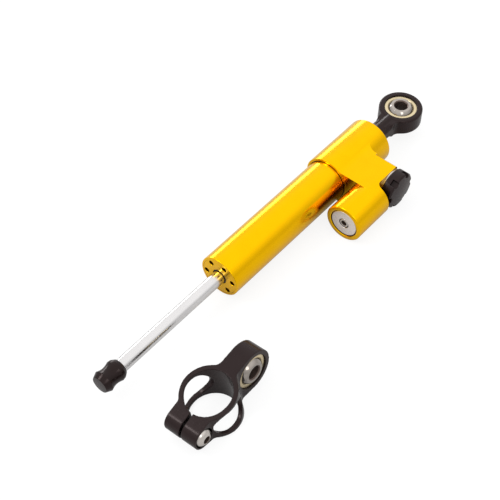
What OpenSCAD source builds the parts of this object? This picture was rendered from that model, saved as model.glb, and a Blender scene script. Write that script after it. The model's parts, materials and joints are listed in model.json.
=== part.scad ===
// Linear through-rod steering damper lying on a table, with its loose barrel clamp beside it.
// Millimetres, +Z up. The origin is in the middle of the rod end's ball.
// X runs along the rod towards the rod end. The damper rests on its head and its reservoir.

/* [Barrel] */
// Outside diameter of the barrel
barrel_d = 26; // [24:0.5:30]
// Wall thickness of the barrel
barrel_wall = 2.5; // [2:0.1:2.8]
// Bare length from the front face to the head
barrel_length = 97; // [90:1:140]
// Length of barrel inside the head
socket_depth = 14; // [10:0.5:15]

/* [Front gland] */
// Width of the barrel's rim round the gland's face
gland_rim = 1.4; // [1:0.1:1.6]
// Length of the wide front part of the gland
gland_face_length = 6; // [5:0.5:7]
// Distance from the gland's edge to the centres of the pin holes
pin_edge = 2.25; // [1.9:0.05:2.6]
// Diameter of the pin-spanner holes
pin_hole_d = 3.2; // [2:0.1:3.4]
// Depth of the pin-spanner holes
pin_hole_depth = 4; // [2:0.5:4.5]
// Number of pin-spanner holes
pin_count = 6; // [4:1:8]
// Turn of the first pin hole from the level direction
pin_angle = 51; // [0:1:59]

/* [Rod] */
// Diameter of the rod
rod_d = 8; // [7:0.25:9]
// Bare rod between the gland and the tip cap
rod_reach = 78.8; // [78:0.2:100]
// Gap between the head and the rod end's neck
neck_gap = 1.5; // [1:0.1:4]
// Length of the rod's thread inside the rod end
rod_thread = 16; // [10:0.5:18]

/* [Rod guides] */
// Outside diameter of the bushes, seals and wipers
guide_d = 12.4; // [11.6:0.1:13]
// Length of a guide bush
bush_length = 6; // [4:0.5:7]
// Length of a rod seal
seal_length = 4; // [3:0.5:5]
// Length of a rod wiper
wiper_length = 3; // [2:0.5:4]
// Depth of a wiper below the face it is set in
wiper_recess = 0.6; // [0.3:0.1:1]
// Thickness of the lip between bush and seal
lip_length = 1.4; // [1:0.1:2]

/* [Piston] */
// Length of the piston
piston_length = 10; // [8:0.5:12]
// Gap between the gland and the piston as it lies
piston_gap = 3; // [2:0.5:5]
// Width of the piston ring
piston_ring_width = 3; // [2:0.5:4]
// Radial thickness of the piston ring
piston_ring_thick = 1.5; // [1:0.1:2]
// Thickness of the clips beside the piston
clip_thick = 1; // [0.8:0.1:1.4]
// Depth of the clip grooves in the rod
clip_groove = 0.5; // [0.3:0.1:0.7]
// Diameter of the clips beside the piston
clip_d = 12; // [11:0.5:13]

/* [Tip cap] */
// Length of the tip cap
cap_length = 15.2; // [13:0.2:20]
// Diameter of the tip cap's ridges
cap_d = 13; // [12:0.2:15]
// Diameter of the tip cap's waist
cap_waist_d = 10.8; // [10.4:0.2:11.6]
// Diameter of the tip cap's flat tip
cap_tip_d = 10; // [8:0.2:11]
// Thickness of the tip cap beyond the rod's end
cap_end = 3; // [2:0.5:4]

/* [Head] */
// Wall of the head's collar round the barrel
head_wall = 1.8; // [1.6:0.1:3]
// Length of the head's collar
head_length = 43; // [42:0.5:50]
// Edge chamfer of the head
head_edge = 0.9; // [0.4:0.1:1.2]
// Diameter of the oil gallery inside the head
gallery_d = 17; // [15:0.5:18]
// Radius of the hollow blends between collar and bridge
bridge_blend = 8; // [4:0.5:10]
// Radius of the hollow curve behind the bridge
rear_blend = 9.5; // [6:0.5:10]
// Thickness of the ring that seals the barrel
barrel_oring_thick = 0.9; // [0.6:0.05:1]

/* [Reservoir] */
// Outside diameter of the reservoir
reservoir_d = 24; // [23:0.25:26]
// Space between the collar's and the reservoir's circles
reservoir_gap = 1.9; // [1:0.1:4]
// Length of the reservoir ahead of the head's front face
reservoir_front = 21.2; // [18:0.2:28]
// Diameter of the reservoir's bore
reservoir_bore_d = 18.4; // [17.8:0.1:18.8]
// Wall between the reservoir's bore and the knob's pocket
reservoir_floor = 3.9; // [3:0.1:5]
// Edge chamfer of the reservoir's mouth
reservoir_edge = 0.9; // [0.4:0.1:1.2]
// Chamfer at the far end of bridge and reservoir
end_chamfer = 1.6; // [1:0.2:3]

/* [Reservoir plug] */
// Depth of the plug's face below the reservoir's mouth
plug_recess = 0.4; // [0.2:0.1:1]
// Width of the dark ring seen round the plug's face
plug_ring_width = 0.5; // [0.4:0.05:0.7]
// Length of the plug's raised face
plug_face_length = 2; // [1.8:0.1:2.6]
// Length of the plug's sealing part
plug_length = 5.8; // [5:0.2:7]
// Thickness of the snap ring
snap_thick = 1.1; // [0.8:0.1:1.2]
// Depth of the snap ring's groove
snap_groove = 0.7; // [0.5:0.1:0.9]
// Head diameter of the fill screw
fill_head_d = 5.8; // [5:0.1:6.6]
// Head height of the fill screw
fill_head_h = 2.2; // [1.8:0.1:2.4]
// Thread diameter of the fill screw
fill_d = 4; // [3:0.5:4]
// Thickness of the sealing washer under the fill screw
fill_washer_h = 0.4; // [0.3:0.1:0.6]

/* [Floating piston] */
// Length of the floating piston
float_length = 6.5; // [6:0.25:7]
// Gap between the plug and the floating piston as it lies
float_gap = 4; // [3.5:0.25:4.5]

/* [Adjuster] */
// Distance of the adjuster's axis behind the head's front face
valve_back = 20.5; // [20:0.5:22]
// Height of the adjuster's axis above the reservoir's middle
valve_rise = 0.8; // [0:0.1:1.5]
// Depth of the pocket's floor beyond the reservoir's middle
pocket_drop = 2.3; // [1.5:0.1:4]
// Corner radius of the pocket
pocket_corner = 3; // [1:0.5:4]
// Gap between the knob and the pocket's wall
knob_wall_gap = 2.1; // [1.5:0.1:4]
// Diameter of the knob
knob_d = 23; // [20:0.2:23.2]
// Length of the knob's rim
knob_rim = 7.1; // [6:0.1:8]
// Rise of the knob's domed face
knob_dome = 0.8; // [0.3:0.1:1.2]
// Edge chamfer of the knob
knob_edge = 0.9; // [0.4:0.1:1.2]
// Number of grip notches
notch_count = 6; // [4:1:8]
// Width of a grip notch
notch_width = 4; // [2:0.2:4.4]
// Radial depth of a grip notch
notch_depth = 2.4; // [1.5:0.1:3.2]
// Length of a grip notch along the knob
notch_length = 3.8; // [2:0.2:5]
// Diameter of the index washer
washer_d = 21.2; // [18:0.2:22]
// Thickness of the index washer
washer_thick = 1; // [0.6:0.1:1.4]
// Radius of the ring of click dimples
detent_radius = 6.2; // [5.4:0.1:6.4]
// Diameter of the click ball
detent_ball_d = 1.6; // [1.4:0.1:2]
// Number of click dimples in a turn
detent_count = 12; // [8:2:16]
// Diameter of the stem in the cartridge
stem_d = 4; // [3.6:0.1:4.2]
// Diameter of the stem's thread that holds the metering pin
feed_d = 2.2; // [1.8:0.1:2.4]
// Slant of the metering pin's end
pin_slant = 20; // [10:1:25]
// Diameter of the cartridge
cartridge_d = 10; // [9.4:0.1:10.4]
// Diameter of the valve chamber
chamber_d = 7.2; // [7:0.1:7.6]
// Diameter of the valve's orifice
orifice_d = 2.4; // [2.2:0.1:3]
// Diameter of the oil passage from the reservoir
passage_d = 2.4; // [1.5:0.1:2.6]

/* [Rod end] */
// Distance from the rod end's neck to the eye's centre
eye_reach = 30.9; // [30.9:0.1:36]
// Outside diameter of the rod end's eye
eye_d = 27.4; // [25:0.2:30]
// Thickness of the rod end's eye
eye_thick = 11.2; // [10:0.2:12.5]
// Edge chamfer of the eyes
eye_edge = 0.8; // [0.3:0.1:1.2]
// Diameter of the rod end's neck
neck_d = 11.6; // [10.6:0.2:13]
// Radius of the hollow blends from the neck to the eye
neck_blend = 5; // [3:0.5:6]

/* [Ball joints] */
// Outside diameter of the races
race_d = 20.4; // [19.6:0.2:21.4]
// Width of the races
race_width = 9.4; // [8:0.2:10]
// Diameter of the balls
ball_d = 18; // [17:0.2:18.6]
// Width of the balls
ball_width = 13; // [12.4:0.2:14]
// Bore of the balls
ball_bore_d = 8; // [6:0.5:9]
// Chamfer of the balls' bores
ball_edge = 0.6; // [0.2:0.1:0.9]

/* [Clamp] */
// Distance of the clamp's ring ahead of the barrel's front face
clamp_ahead = 65; // [50:1:90]
// Distance of the clamp's ring aside from the damper's axis
clamp_aside = 51; // [45:1:80]
// Wall of the clamp's ring
clamp_wall = 2.6; // [2.2:0.1:4]
// Half height of the ring in the middle
clamp_half_height = 10.6; // [10.2:0.1:12]
// Distance from the ring's middle to the eye
clamp_eye_reach = 27; // [26.6:0.2:34]
// Outside diameter of the clamp's eye
clamp_eye_d = 26; // [25:0.2:28]
// Thickness of the clamp's eye
clamp_eye_thick = 12; // [10.4:0.2:12.4]
// Wall between the clamp's bore and its bolt
bolt_wall = 1.4; // [1.2:0.1:3]
// Outside diameter of the boss at the split
split_boss_d = 13.6; // [13.4:0.2:15]
// Width of the boss at the split
split_boss_width = 21.4; // [20:0.2:24]
// Width of the split
split_gap = 1.6; // [1:0.1:2.4]
// Height of the ring's side windows
window_height = 16.6; // [10:0.2:17]
// Length added to the windows' round ends
window_stretch = 5; // [2:0.5:6]
// Radius of the hollow blends of the split boss
split_blend = 3.5; // [2:0.5:5]
// Radius of the hollow blends of the eye
eye_blend = 5; // [3:0.5:6]

/* [Clamp bolt] */
// Thread diameter of the clamp bolt
bolt_d = 6; // [5:1:6]
// Head diameter of the clamp bolt
bolt_head_d = 11; // [10:0.1:11.2]
// Head height of the clamp bolt
bolt_head_h = 3.3; // [2.8:0.1:3.6]
// Depth of the bolt head's seat
bolt_seat = 2.4; // [1.5:0.1:3]

/* [Clearances] */
// Radial gap of running and sliding fits
run_gap = 0.05; // [0.03:0.01:0.08]
// Gap between pieces that are fixed together
fit_gap = 0.02; // [0.01:0.005:0.04]
// Gap between pieces that pass one another freely
free_gap = 0.3; // [0.3:0.05:0.5]

/* [Hidden] */
$fn = 64;
barrel_r = barrel_d / 2;
bore_r = barrel_r - barrel_wall;
rod_r = rod_d / 2;
rod_bore_r = rod_r + run_gap;
guide_r = guide_d / 2;
guide_length = wiper_recess + wiper_length + seal_length + lip_length + bush_length;
lip_r = rod_r + 3 * free_gap;

gland_face_r = barrel_r - gland_rim;
pin_circle_r = gland_face_r - pin_edge;

piston_x = guide_length + piston_gap;
piston_end = piston_x + piston_length;
piston_r = bore_r - free_gap;
ring_r = bore_r - run_gap;
ring_groove_r = ring_r - piston_ring_thick - fit_gap;

head_x = barrel_length;
head_end = head_x + head_length;
head_r = barrel_r + head_wall;
socket_end = head_x + socket_depth;
gallery_end = head_end - guide_length;

reservoir_r = reservoir_d / 2;
reservoir_y = head_r + reservoir_r + reservoir_gap;
reservoir_x = head_x - reservoir_front;
reservoir_bore_r = reservoir_bore_d / 2;
lie_angle = asin((head_r - reservoir_r) / reservoir_y);

valve_x = head_x + valve_back;
cartridge_r = cartridge_d / 2;
block_end = valve_x + cartridge_r + 1.7;
floor_y = -(reservoir_y + pocket_drop);
knob_r = knob_d / 2;
pocket_x = valve_x - knob_r - knob_wall_gap;
reservoir_bore_end = pocket_x - reservoir_floor;
washer_y = floor_y - washer_thick;
knob_y = washer_y - free_gap;
stem_r = stem_d / 2;
stem_bore_r = stem_r + run_gap;
journal_y = floor_y + 3;
pin_r = stem_r + 0.5;
cartridge_y = floor_y + 6.5;
nose_y = floor_y + 8;
chamber_y = floor_y + 15;
passage_y = nose_y + 0.5 + passage_d / 2;
pin_tail = floor_y + 4.4;
pin_end = chamber_y - 1;
feed_end = floor_y + 6.7;

plug_x = reservoir_x + plug_recess;
plug_shoulder = plug_x + plug_face_length;
plug_end = plug_shoulder + plug_length;
plug_face_r = reservoir_bore_r - plug_ring_width;
plug_r = reservoir_bore_r - fit_gap;
fill_seat = plug_x + 0.2 + fill_head_h + fill_washer_h;
float_x = plug_end + float_gap;
float_r = reservoir_bore_r - free_gap;

neck_x = head_end + neck_gap;
eye_x = neck_x + eye_reach;
eye_r = eye_d / 2;
neck_r = neck_d / 2;
race_r = race_d / 2;
ball_r = ball_d / 2;
rod_front = -rod_reach - cap_length + cap_end;
rod_back = neck_x + rod_thread;

clamp_bore_r = barrel_r + fit_gap;
clamp_r = clamp_bore_r + clamp_wall;
clamp_eye_r = clamp_eye_d / 2;
split_r = split_boss_d / 2;
bolt_r = bolt_d / 2;
bolt_x = -(clamp_bore_r + bolt_wall + bolt_r + 0.1);
split_half = split_boss_width / 2;
clamp_eye_half = clamp_eye_thick / 2;
clamp_lean = asin((clamp_eye_r - clamp_half_height) / clamp_eye_reach);
bolt_seat_y = -split_half + bolt_seat;

// Places a piece of the damper as it lies on the table
module lying() {
    rotate([lie_angle, 0, 0]) translate([-eye_x, 0, 0]) children();
}

// Places a piece of the damper on the reservoir's axis
module on_reservoir() {
    lying() translate([0, -reservoir_y, 0]) children();
}

// Places a piece on the adjuster's axis, with its own Z as the damper's Y
module on_valve() {
    lying() translate([valve_x, 0, valve_rise]) rotate([-90, 0, 0]) children();
}

// Places a piece of the clamp as it stands on the table
module standing() {
    rest = clamp_eye_r - clamp_eye_reach * sin(clamp_lean) - head_r;
    translate([-clamp_ahead - eye_x, -clamp_aside, rest]) rotate([0, -clamp_lean, 0]) children();
}

// Turns a profile of [radius, x] points about the X axis
module turned(points) {
    rotate([0, 90, 0]) rotate_extrude() polygon(points);
}

// Round bar along X
module bar_x(x, length, r) {
    translate([x, 0, 0]) rotate([0, 90, 0]) cylinder(r = r, h = length);
}

// Round tube along X
module tube_x(x, length, outer, inner) {
    turned([[inner, x], [outer, x], [outer, x + length], [inner, x + length]]);
}

// Round bar along Z between two heights
module bar_z(low, high, r) {
    translate([0, 0, low]) cylinder(r = r, h = high - low);
}

// Ring of round section, lying about Z
module oring(r, section) {
    rotate_extrude() translate([r, 0]) circle(r = section);
}

// Ring of round section about X
module oring_x(x, r, section) {
    translate([x, 0, 0]) rotate([0, 90, 0]) oring(r, section);
}

// Hexagon across its flats, between two heights
module hex_z(low, high, flats) {
    translate([0, 0, low]) cylinder(r = flats / sqrt(3), h = high - low, $fn = 6);
}

// Two circles on the X axis joined by their tangents
module joined_circles(x1, r1, x2, r2) {
    a = acos((r1 - r2) / (x2 - x1));
    translate([x1, 0]) circle(r = r1);
    translate([x2, 0]) circle(r = r2);
    polygon([[x1 + r1 * cos(a), r1 * sin(a)], [x1 + r1 * cos(a), -r1 * sin(a)],
        [x2 + r2 * cos(a), -r2 * sin(a)], [x2 + r2 * cos(a), r2 * sin(a)]]);
}

// Where a hollow blend between a circle about the origin and a level line has its centre
function blend_x(circle_r, line, blend) = sqrt(pow(circle_r + blend, 2) - pow(line + blend, 2));

// Corner piece that a hollow blend is cut from
module blend_corner(circle_r, line, blend, side) {
    x = blend_x(circle_r, line, blend);
    share = circle_r / (circle_r + blend);
    polygon([[side * x, 0], [side * x, line + blend], [side * x * share, (line + blend) * share], [0, 0]]);
}

// Round that cuts a hollow blend, a hair larger so that it crosses both sides
module blend_round(circle_r, line, blend, side) {
    translate([side * blend_x(circle_r, line, blend), line + blend]) circle(r = blend + 0.03);
}

module barrel() {
    color("gold") lying() difference() {
        turned([[gland_face_r + fit_gap, 0], [barrel_r - 0.4, 0], [barrel_r, 0.4],
            [barrel_r, socket_end], [bore_r, socket_end], [bore_r, gland_face_length],
            [gland_face_r + fit_gap, gland_face_length]]);
    }
}

module front_gland() {
    groove = guide_length - bush_length / 2;
    color("gold") lying() difference() {
        turned([[0, 0], [gland_face_r - 0.3, 0], [gland_face_r, 0.3],
            [gland_face_r, gland_face_length], [bore_r - fit_gap, gland_face_length],
            [bore_r - fit_gap, groove - 0.7], [bore_r - 1.25, groove - 0.7],
            [bore_r - 1.25, groove + 0.7], [bore_r - fit_gap, groove + 0.7],
            [bore_r - fit_gap, guide_length], [0, guide_length]]);
        guide_seat(0, 1);
        for (i = [0 : pin_count - 1])
            rotate([pin_angle + i * 360 / pin_count, 0, 0])
                translate([-1, pin_circle_r, 0]) rotate([0, 90, 0])
                    cylinder(d = pin_hole_d, h = pin_hole_depth + 1);
    }
}

module gland_oring() {
    color("black") lying() oring_x(guide_length - bush_length / 2, bore_r - 0.63, 0.58);
}

// Bores for wiper, seal and bush, from a face inwards
module guide_seat(face, way) {
    pocket = wiper_recess + wiper_length + seal_length;
    translate([face, 0, 0]) mirror([way < 0 ? 1 : 0, 0, 0]) {
        bar_x(-1, pocket + 1, guide_r + fit_gap);
        bar_x(-1, guide_length + 2, lip_r);
        bar_x(pocket + lip_length, bush_length + 1, guide_r + fit_gap);
    }
}

// Guide bush, behind a face
module bush(face, way) {
    start = wiper_recess + wiper_length + seal_length + lip_length;
    color("peru") lying() translate([face, 0, 0]) mirror([way < 0 ? 1 : 0, 0, 0])
        tube_x(start + fit_gap, bush_length - fit_gap, guide_r, rod_bore_r);
}

// Rod seal with its open lip, behind a face
module rod_seal(face, way) {
    start = wiper_recess + wiper_length;
    end = start + seal_length - fit_gap;
    mid = (guide_r + rod_bore_r) / 2;
    color("black") lying() translate([face, 0, 0]) mirror([way < 0 ? 1 : 0, 0, 0])
        turned([[rod_bore_r, start + fit_gap], [guide_r, start + fit_gap], [guide_r, end],
            [mid + 0.3, end], [mid, end - seal_length / 3], [mid - 0.3, end], [rod_bore_r, end]]);
}

// Rod wiper with its sloping lip, behind a face
module rod_wiper(face, way) {
    color("black") lying() translate([face, 0, 0]) mirror([way < 0 ? 1 : 0, 0, 0])
        turned([[rod_bore_r, wiper_recess - 0.2], [rod_bore_r + 0.4, wiper_recess - 0.2],
            [rod_bore_r + 0.8, wiper_recess], [guide_r, wiper_recess],
            [guide_r, wiper_recess + wiper_length], [rod_bore_r, wiper_recess + wiper_length]]);
}

module front_bush() { bush(0, 1); }
module front_rod_seal() { rod_seal(0, 1); }
module front_wiper() { rod_wiper(0, 1); }
module rear_bush() { bush(head_end, -1); }
module rear_rod_seal() { rod_seal(head_end, -1); }
module rear_wiper() { rod_wiper(head_end, -1); }

// Outside of the bridge and reservoir, with the far end chamfered
module side_block() {
    intersection() {
        union() {
            translate([0, -reservoir_y, 0])
                turned([[0, reservoir_x], [reservoir_r - reservoir_edge, reservoir_x],
                    [reservoir_r, reservoir_x + reservoir_edge], [reservoir_r, block_end],
                    [0, block_end]]);
            translate([head_x, -reservoir_y, -reservoir_r])
                cube([block_end - head_x, reservoir_y, 2 * reservoir_r]);
            translate([head_x, 0, 0]) rotate([90, 0, 90]) linear_extrude(block_end - head_x)
                bridge_blends();
        }
        rotate([90, 0, 0]) translate([0, 0, -1]) linear_extrude(reservoir_y + reservoir_r + 2)
            polygon([[reservoir_x - 1, -head_r], [block_end - end_chamfer - head_r + reservoir_r, -head_r],
                [block_end, end_chamfer - reservoir_r], [block_end, reservoir_r - end_chamfer],
                [block_end - end_chamfer - head_r + reservoir_r, head_r], [reservoir_x - 1, head_r]]);
    }
}

// Web behind the bridge, where its back runs into the collar in a hollow curve
module rear_web() {
    start = 0.4 * head_r;
    intersection() {
        translate([0, 0, -head_r]) linear_extrude(2 * head_r) difference() {
            translate([block_end - end_chamfer, -start - rear_blend])
                square([end_chamfer + rear_blend, start + rear_blend]);
            translate([block_end + rear_blend, -start - rear_blend]) circle(r = rear_blend);
        }
        translate([block_end - end_chamfer, 0, 0]) rotate([90, 0, 90])
            linear_extrude(end_chamfer + rear_blend) {
                translate([-reservoir_y, -reservoir_r]) square([reservoir_y, 2 * reservoir_r]);
                bridge_blends();
            }
    }
}

// Hollow blends above and below the bridge, seen along X
module bridge_blends() {
    for (way = [0, 1]) mirror([0, way]) difference() {
        blend_corner(head_r, reservoir_r, bridge_blend, -1);
        blend_round(head_r, reservoir_r, bridge_blend, -1);
    }
}

// Pocket for the knob, seen from above
module pocket_outline() {
    far = reservoir_y + 2 * reservoir_r;
    translate([pocket_x, -far]) square([60, far + floor_y - pocket_corner]);
    translate([pocket_x + pocket_corner, -far]) square([60, far + floor_y]);
    translate([pocket_x + pocket_corner, floor_y - pocket_corner]) circle(r = pocket_corner);
}

module head_block() {
    color("gold") lying() difference() {
        union() {
            turned([[0, head_x], [head_r - head_edge / 2, head_x], [head_r, head_x + head_edge / 2],
                [head_r, head_end - head_edge], [head_r - head_edge, head_end], [0, head_end]]);
            side_block();
            rear_web();
        }
        translate([0, 0, -2 * head_r]) linear_extrude(4 * head_r) pocket_outline();
        bar_x(head_x - 1, socket_depth + 1, barrel_r + fit_gap);
        bar_x(head_x - 1, 2.5, barrel_r + barrel_oring_thick + 2 * fit_gap);
        bar_x(socket_end - 1, gallery_end - socket_end + 1, gallery_d / 2);
        guide_seat(head_end, -1);
        translate([0, -reservoir_y, 0]) {
            bar_x(reservoir_x - 1, reservoir_bore_end - reservoir_x + 1, reservoir_bore_r);
            bar_x(plug_shoulder - snap_thick - 0.1, snap_thick + 0.1, reservoir_bore_r + snap_groove);
        }
        translate([0, passage_y, valve_rise])
            bar_x(reservoir_bore_end - 1, valve_x - reservoir_bore_end + 1, passage_d / 2);
        translate([valve_x, 0, valve_rise]) rotate([-90, 0, 0]) {
            bar_z(floor_y - 1, cartridge_y, cartridge_r + fit_gap);
            bar_z(cartridge_y - 1, chamber_y, chamber_d / 2);
            bar_z(chamber_y - 1, -gallery_d / 2 + 2, orifice_d / 2);
        }
    }
}

module barrel_oring() {
    color("black") lying()
        tube_x(head_x + 0.3, 1.2 - fit_gap, barrel_r + fit_gap + barrel_oring_thick, barrel_r + fit_gap);
}

module reservoir_plug() {
    groove = plug_shoulder + plug_length / 2;
    color("silver") on_reservoir() difference() {
        turned([[0, plug_x], [plug_face_r - 0.4, plug_x], [plug_face_r, plug_x + 0.4],
            [plug_face_r, plug_shoulder], [plug_r, plug_shoulder], [plug_r, groove - 0.7],
            [plug_r - 1.25, groove - 0.7], [plug_r - 1.25, groove + 0.7], [plug_r, groove + 0.7],
            [plug_r, plug_end], [0, plug_end]]);
        bar_x(plug_x - 1, fill_seat - plug_x + 1, fill_head_d / 2 + 0.4);
        bar_x(plug_x, plug_end - plug_x + 1, fill_d / 2 + fit_gap);
    }
}

module plug_oring() {
    color("black") on_reservoir() oring_x(plug_shoulder + plug_length / 2, plug_r - 0.63, 0.58);
}

module plug_clip() {
    color("dimgray") on_reservoir() difference() {
        tube_x(plug_shoulder - snap_thick, snap_thick - fit_gap, reservoir_bore_r + snap_groove - 0.1,
            plug_face_r + 0.1);
        translate([plug_shoulder - snap_thick - 1, -1.2, -reservoir_r])
            cube([snap_thick + 2, 2.4, reservoir_r]);
    }
}

module fill_screw() {
    head = plug_x + 0.2;
    under = head + fill_head_h;
    color("silver") on_reservoir() difference() {
        turned([[0, head], [fill_head_d / 2 - 0.4, head], [fill_head_d / 2, head + 0.4],
            [fill_head_d / 2, under], [fill_d / 2, under], [fill_d / 2, plug_end - 0.5],
            [0, plug_end - 0.5]]);
        rotate([0, 90, 0]) hex_z(head - 1, head + 1.6, 3);
    }
}

module fill_washer() {
    color("peru") on_reservoir()
        tube_x(fill_seat - fill_washer_h + fit_gap, fill_washer_h - 2 * fit_gap, fill_head_d / 2,
            fill_d / 2 + fit_gap);
}

module floating_piston() {
    groove = float_x + float_length / 2;
    color("silver") on_reservoir()
        turned([[0, float_x], [float_r, float_x], [float_r, groove - 0.75], [float_r - 1.1, groove - 0.75],
            [float_r - 1.1, groove + 0.75], [float_r, groove + 0.75], [float_r, float_x + float_length],
            [5, float_x + float_length], [5, float_x + float_length - 2], [0, float_x + float_length - 2]]);
}

module floating_oring() {
    color("black") on_reservoir()
        oring_x(float_x + float_length / 2, reservoir_bore_r - run_gap - 0.66, 0.66);
}

module valve_cartridge() {
    color("darkkhaki") on_valve() difference() {
        union() {
            bar_z(floor_y, cartridge_y - fit_gap, cartridge_r);
            bar_z(cartridge_y - 1, nose_y, chamber_d / 2 - fit_gap);
        }
        bar_z(floor_y - 1, journal_y + 1, stem_bore_r);
        bar_z(journal_y, nose_y + 1, pin_r + run_gap);
        difference() {
            bar_z(floor_y + 3.4, floor_y + 4.6, cartridge_r + 1);
            bar_z(floor_y + 3, floor_y + 5, cartridge_r - 0.95);
        }
    }
}

module cartridge_oring() {
    color("black") on_valve() translate([0, 0, floor_y + 4]) oring(cartridge_r - 0.47, 0.46);
}

module index_washer() {
    color("silver") on_valve() difference() {
        bar_z(washer_y, floor_y - fit_gap, washer_d / 2);
        bar_z(washer_y - 1, floor_y + 1, stem_r + 2 * free_gap);
        for (i = [0 : detent_count - 1])
            rotate([0, 0, i * 360 / detent_count])
                translate([detent_radius, 0, washer_y - detent_ball_d / 2 + 0.3])
                    sphere(d = detent_ball_d);
    }
}

module knob() {
    front = knob_y - knob_rim;
    face_r = knob_r - knob_edge;
    dome_r = (pow(face_r, 2) + pow(knob_dome, 2)) / (2 * knob_dome);
    color("black") on_valve() difference() {
        union() {
            rotate_extrude() polygon([[0, knob_y], [knob_r - 0.6, knob_y], [knob_r, knob_y - 0.6],
                [knob_r, front + knob_edge], [face_r, front], [0, front]]);
            intersection() {
                bar_z(front - 2 * knob_dome, front + 0.5, face_r);
                translate([0, 0, front - knob_dome + dome_r]) sphere(r = dome_r);
            }
        }
        for (i = [0 : notch_count - 1])
            rotate([0, 0, i * 360 / notch_count])
                translate([knob_r - notch_depth, -notch_width / 2, front - 2])
                    cube([notch_depth + 2, notch_width, notch_length + 2]);
        bar_z(knob_y - 6, knob_y + 1, stem_r + fit_gap);
        translate([detent_radius, 0, 0]) bar_z(knob_y - 3.4, knob_y + 1, detent_ball_d / 2 + 0.1);
    }
}

module adjuster_stem() {
    color("lightgray") on_valve() difference() {
        union() {
            bar_z(knob_y - 6 + fit_gap, journal_y + 0.5, stem_r);
            bar_z(journal_y + 0.1, journal_y + 0.9, stem_r + 0.3);
            bar_z(journal_y, feed_end, feed_d / 2);
        }
        difference() {
            bar_z(floor_y + 1, floor_y + 1.8, stem_r + 1);
            bar_z(floor_y, floor_y + 3, stem_r - 0.68);
        }
    }
}

module stem_oring() {
    color("black") on_valve() translate([0, 0, floor_y + 1.4]) oring(stem_r - 0.34, 0.32);
}

module detent_ball() {
    color("silver") on_valve()
        translate([detent_radius, 0, washer_y - run_gap - detent_ball_d / 2]) sphere(d = detent_ball_d);
}

// Coil of round wire along Z: rings of points joined by faces
module coil(r, wire, height, turns) {
    sides = 6;
    steps = turns * 10;
    points = [for (i = [0 : steps]) for (j = [0 : sides - 1])
        let (a = 360 * i / 10, b = 360 * j / sides)
        [(r + wire * cos(b)) * cos(a), (r + wire * cos(b)) * sin(a),
            wire + (height - 2 * wire) * i / steps + wire * sin(b)]];
    around = [for (i = [0 : steps - 1]) for (j = [0 : sides - 1])
        [i * sides + j, (i + 1) * sides + j,
            (i + 1) * sides + (j + 1) % sides, i * sides + (j + 1) % sides]];
    start = [[for (j = [0 : sides - 1]) j]];
    finish = [[for (j = [0 : sides - 1]) steps * sides + sides - 1 - j]];
    polyhedron(points, concat(around, start, finish));
}

module detent_spring() {
    ball_back = washer_y - run_gap - detent_ball_d - 0.02;
    color("lightgray") on_valve() translate([detent_radius, 0, knob_y - 3.4 + fit_gap])
        coil(detent_ball_d / 2 - 0.25, 0.13, ball_back - knob_y + 3.4, 4);
}

// Pin that turns with the stem: its slanted end covers the oil passage more or less
module metering_pin() {
    color("lightgray") on_valve() difference() {
        union() {
            bar_z(pin_tail, nose_y + 0.5, pin_r);
            bar_z(nose_y + 0.2, pin_end, chamber_d / 2 - run_gap);
        }
        translate([0, 0, passage_y]) rotate([0, pin_slant, 0])
            translate([-chamber_d, -chamber_d, 0]) cube(2 * chamber_d);
        bar_z(pin_tail - 1, feed_end + fit_gap, feed_d / 2 + fit_gap);
    }
}

module rod() {
    color("lightgray") lying() difference() {
        turned([[0, rod_front], [rod_r - 0.4, rod_front], [rod_r, rod_front + 0.4],
            [rod_r, piston_x - clip_thick - 0.1], [rod_r - clip_groove, piston_x - clip_thick - 0.1],
            [rod_r - clip_groove, piston_x], [rod_r, piston_x], [rod_r, piston_end],
            [rod_r - clip_groove, piston_end], [rod_r - clip_groove, piston_end + clip_thick + 0.1],
            [rod_r, piston_end + clip_thick + 0.1], [rod_r, rod_back - 0.4], [rod_r - 0.4, rod_back],
            [0, rod_back]]);
    }
}

module piston() {
    mid = (piston_x + piston_end) / 2;
    half = piston_ring_width / 2 + fit_gap;
    color("silver") lying()
        turned([[rod_r + fit_gap, piston_x + fit_gap], [piston_r, piston_x + fit_gap],
            [piston_r, mid - half],
            [ring_groove_r, mid - half], [ring_groove_r, mid + half], [piston_r, mid + half],
            [piston_r, piston_end - fit_gap], [rod_r + fit_gap, piston_end - fit_gap]]);
}

module piston_ring() {
    mid = (piston_x + piston_end) / 2;
    color("white") lying()
        tube_x(mid - piston_ring_width / 2, piston_ring_width, ring_r, ring_groove_r + fit_gap);
}

// One open clip in a groove of the rod
module piston_clip(x) {
    difference() {
        tube_x(x, clip_thick, clip_d / 2, rod_r - clip_groove + fit_gap);
        translate([x - 1, 0, -1.5]) cube([clip_thick + 2, clip_d, 3]);
    }
}

module piston_clips() {
    color("dimgray") lying() {
        piston_clip(piston_x - clip_thick - 0.05);
        piston_clip(piston_end + 0.05);
    }
}

module rod_tip_cap() {
    tip = -rod_reach - cap_length;
    cap_r = cap_d / 2;
    color("black") lying() difference() {
        turned([[0, tip], [cap_tip_d / 2 - 0.3, tip], [cap_tip_d / 2, tip + 0.3],
            [cap_r - 0.2, tip + cap_length * 0.21], [cap_r - 0.1, tip + cap_length * 0.235],
            [cap_waist_d / 2 + 0.3, tip + cap_length * 0.36], [cap_waist_d / 2, tip + cap_length * 0.45],
            [cap_waist_d / 2 + 0.2, tip + cap_length * 0.55], [cap_r - 0.4, tip + cap_length * 0.68],
            [cap_r, tip + cap_length * 0.76], [cap_r - 0.1, tip + cap_length * 0.86],
            [cap_r - 0.6, tip + cap_length * 0.95], [rod_r + 1.1, tip + cap_length],
            [0, tip + cap_length]]);
        bar_x(rod_front - fit_gap, cap_length, rod_r + fit_gap);
    }
}

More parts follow.
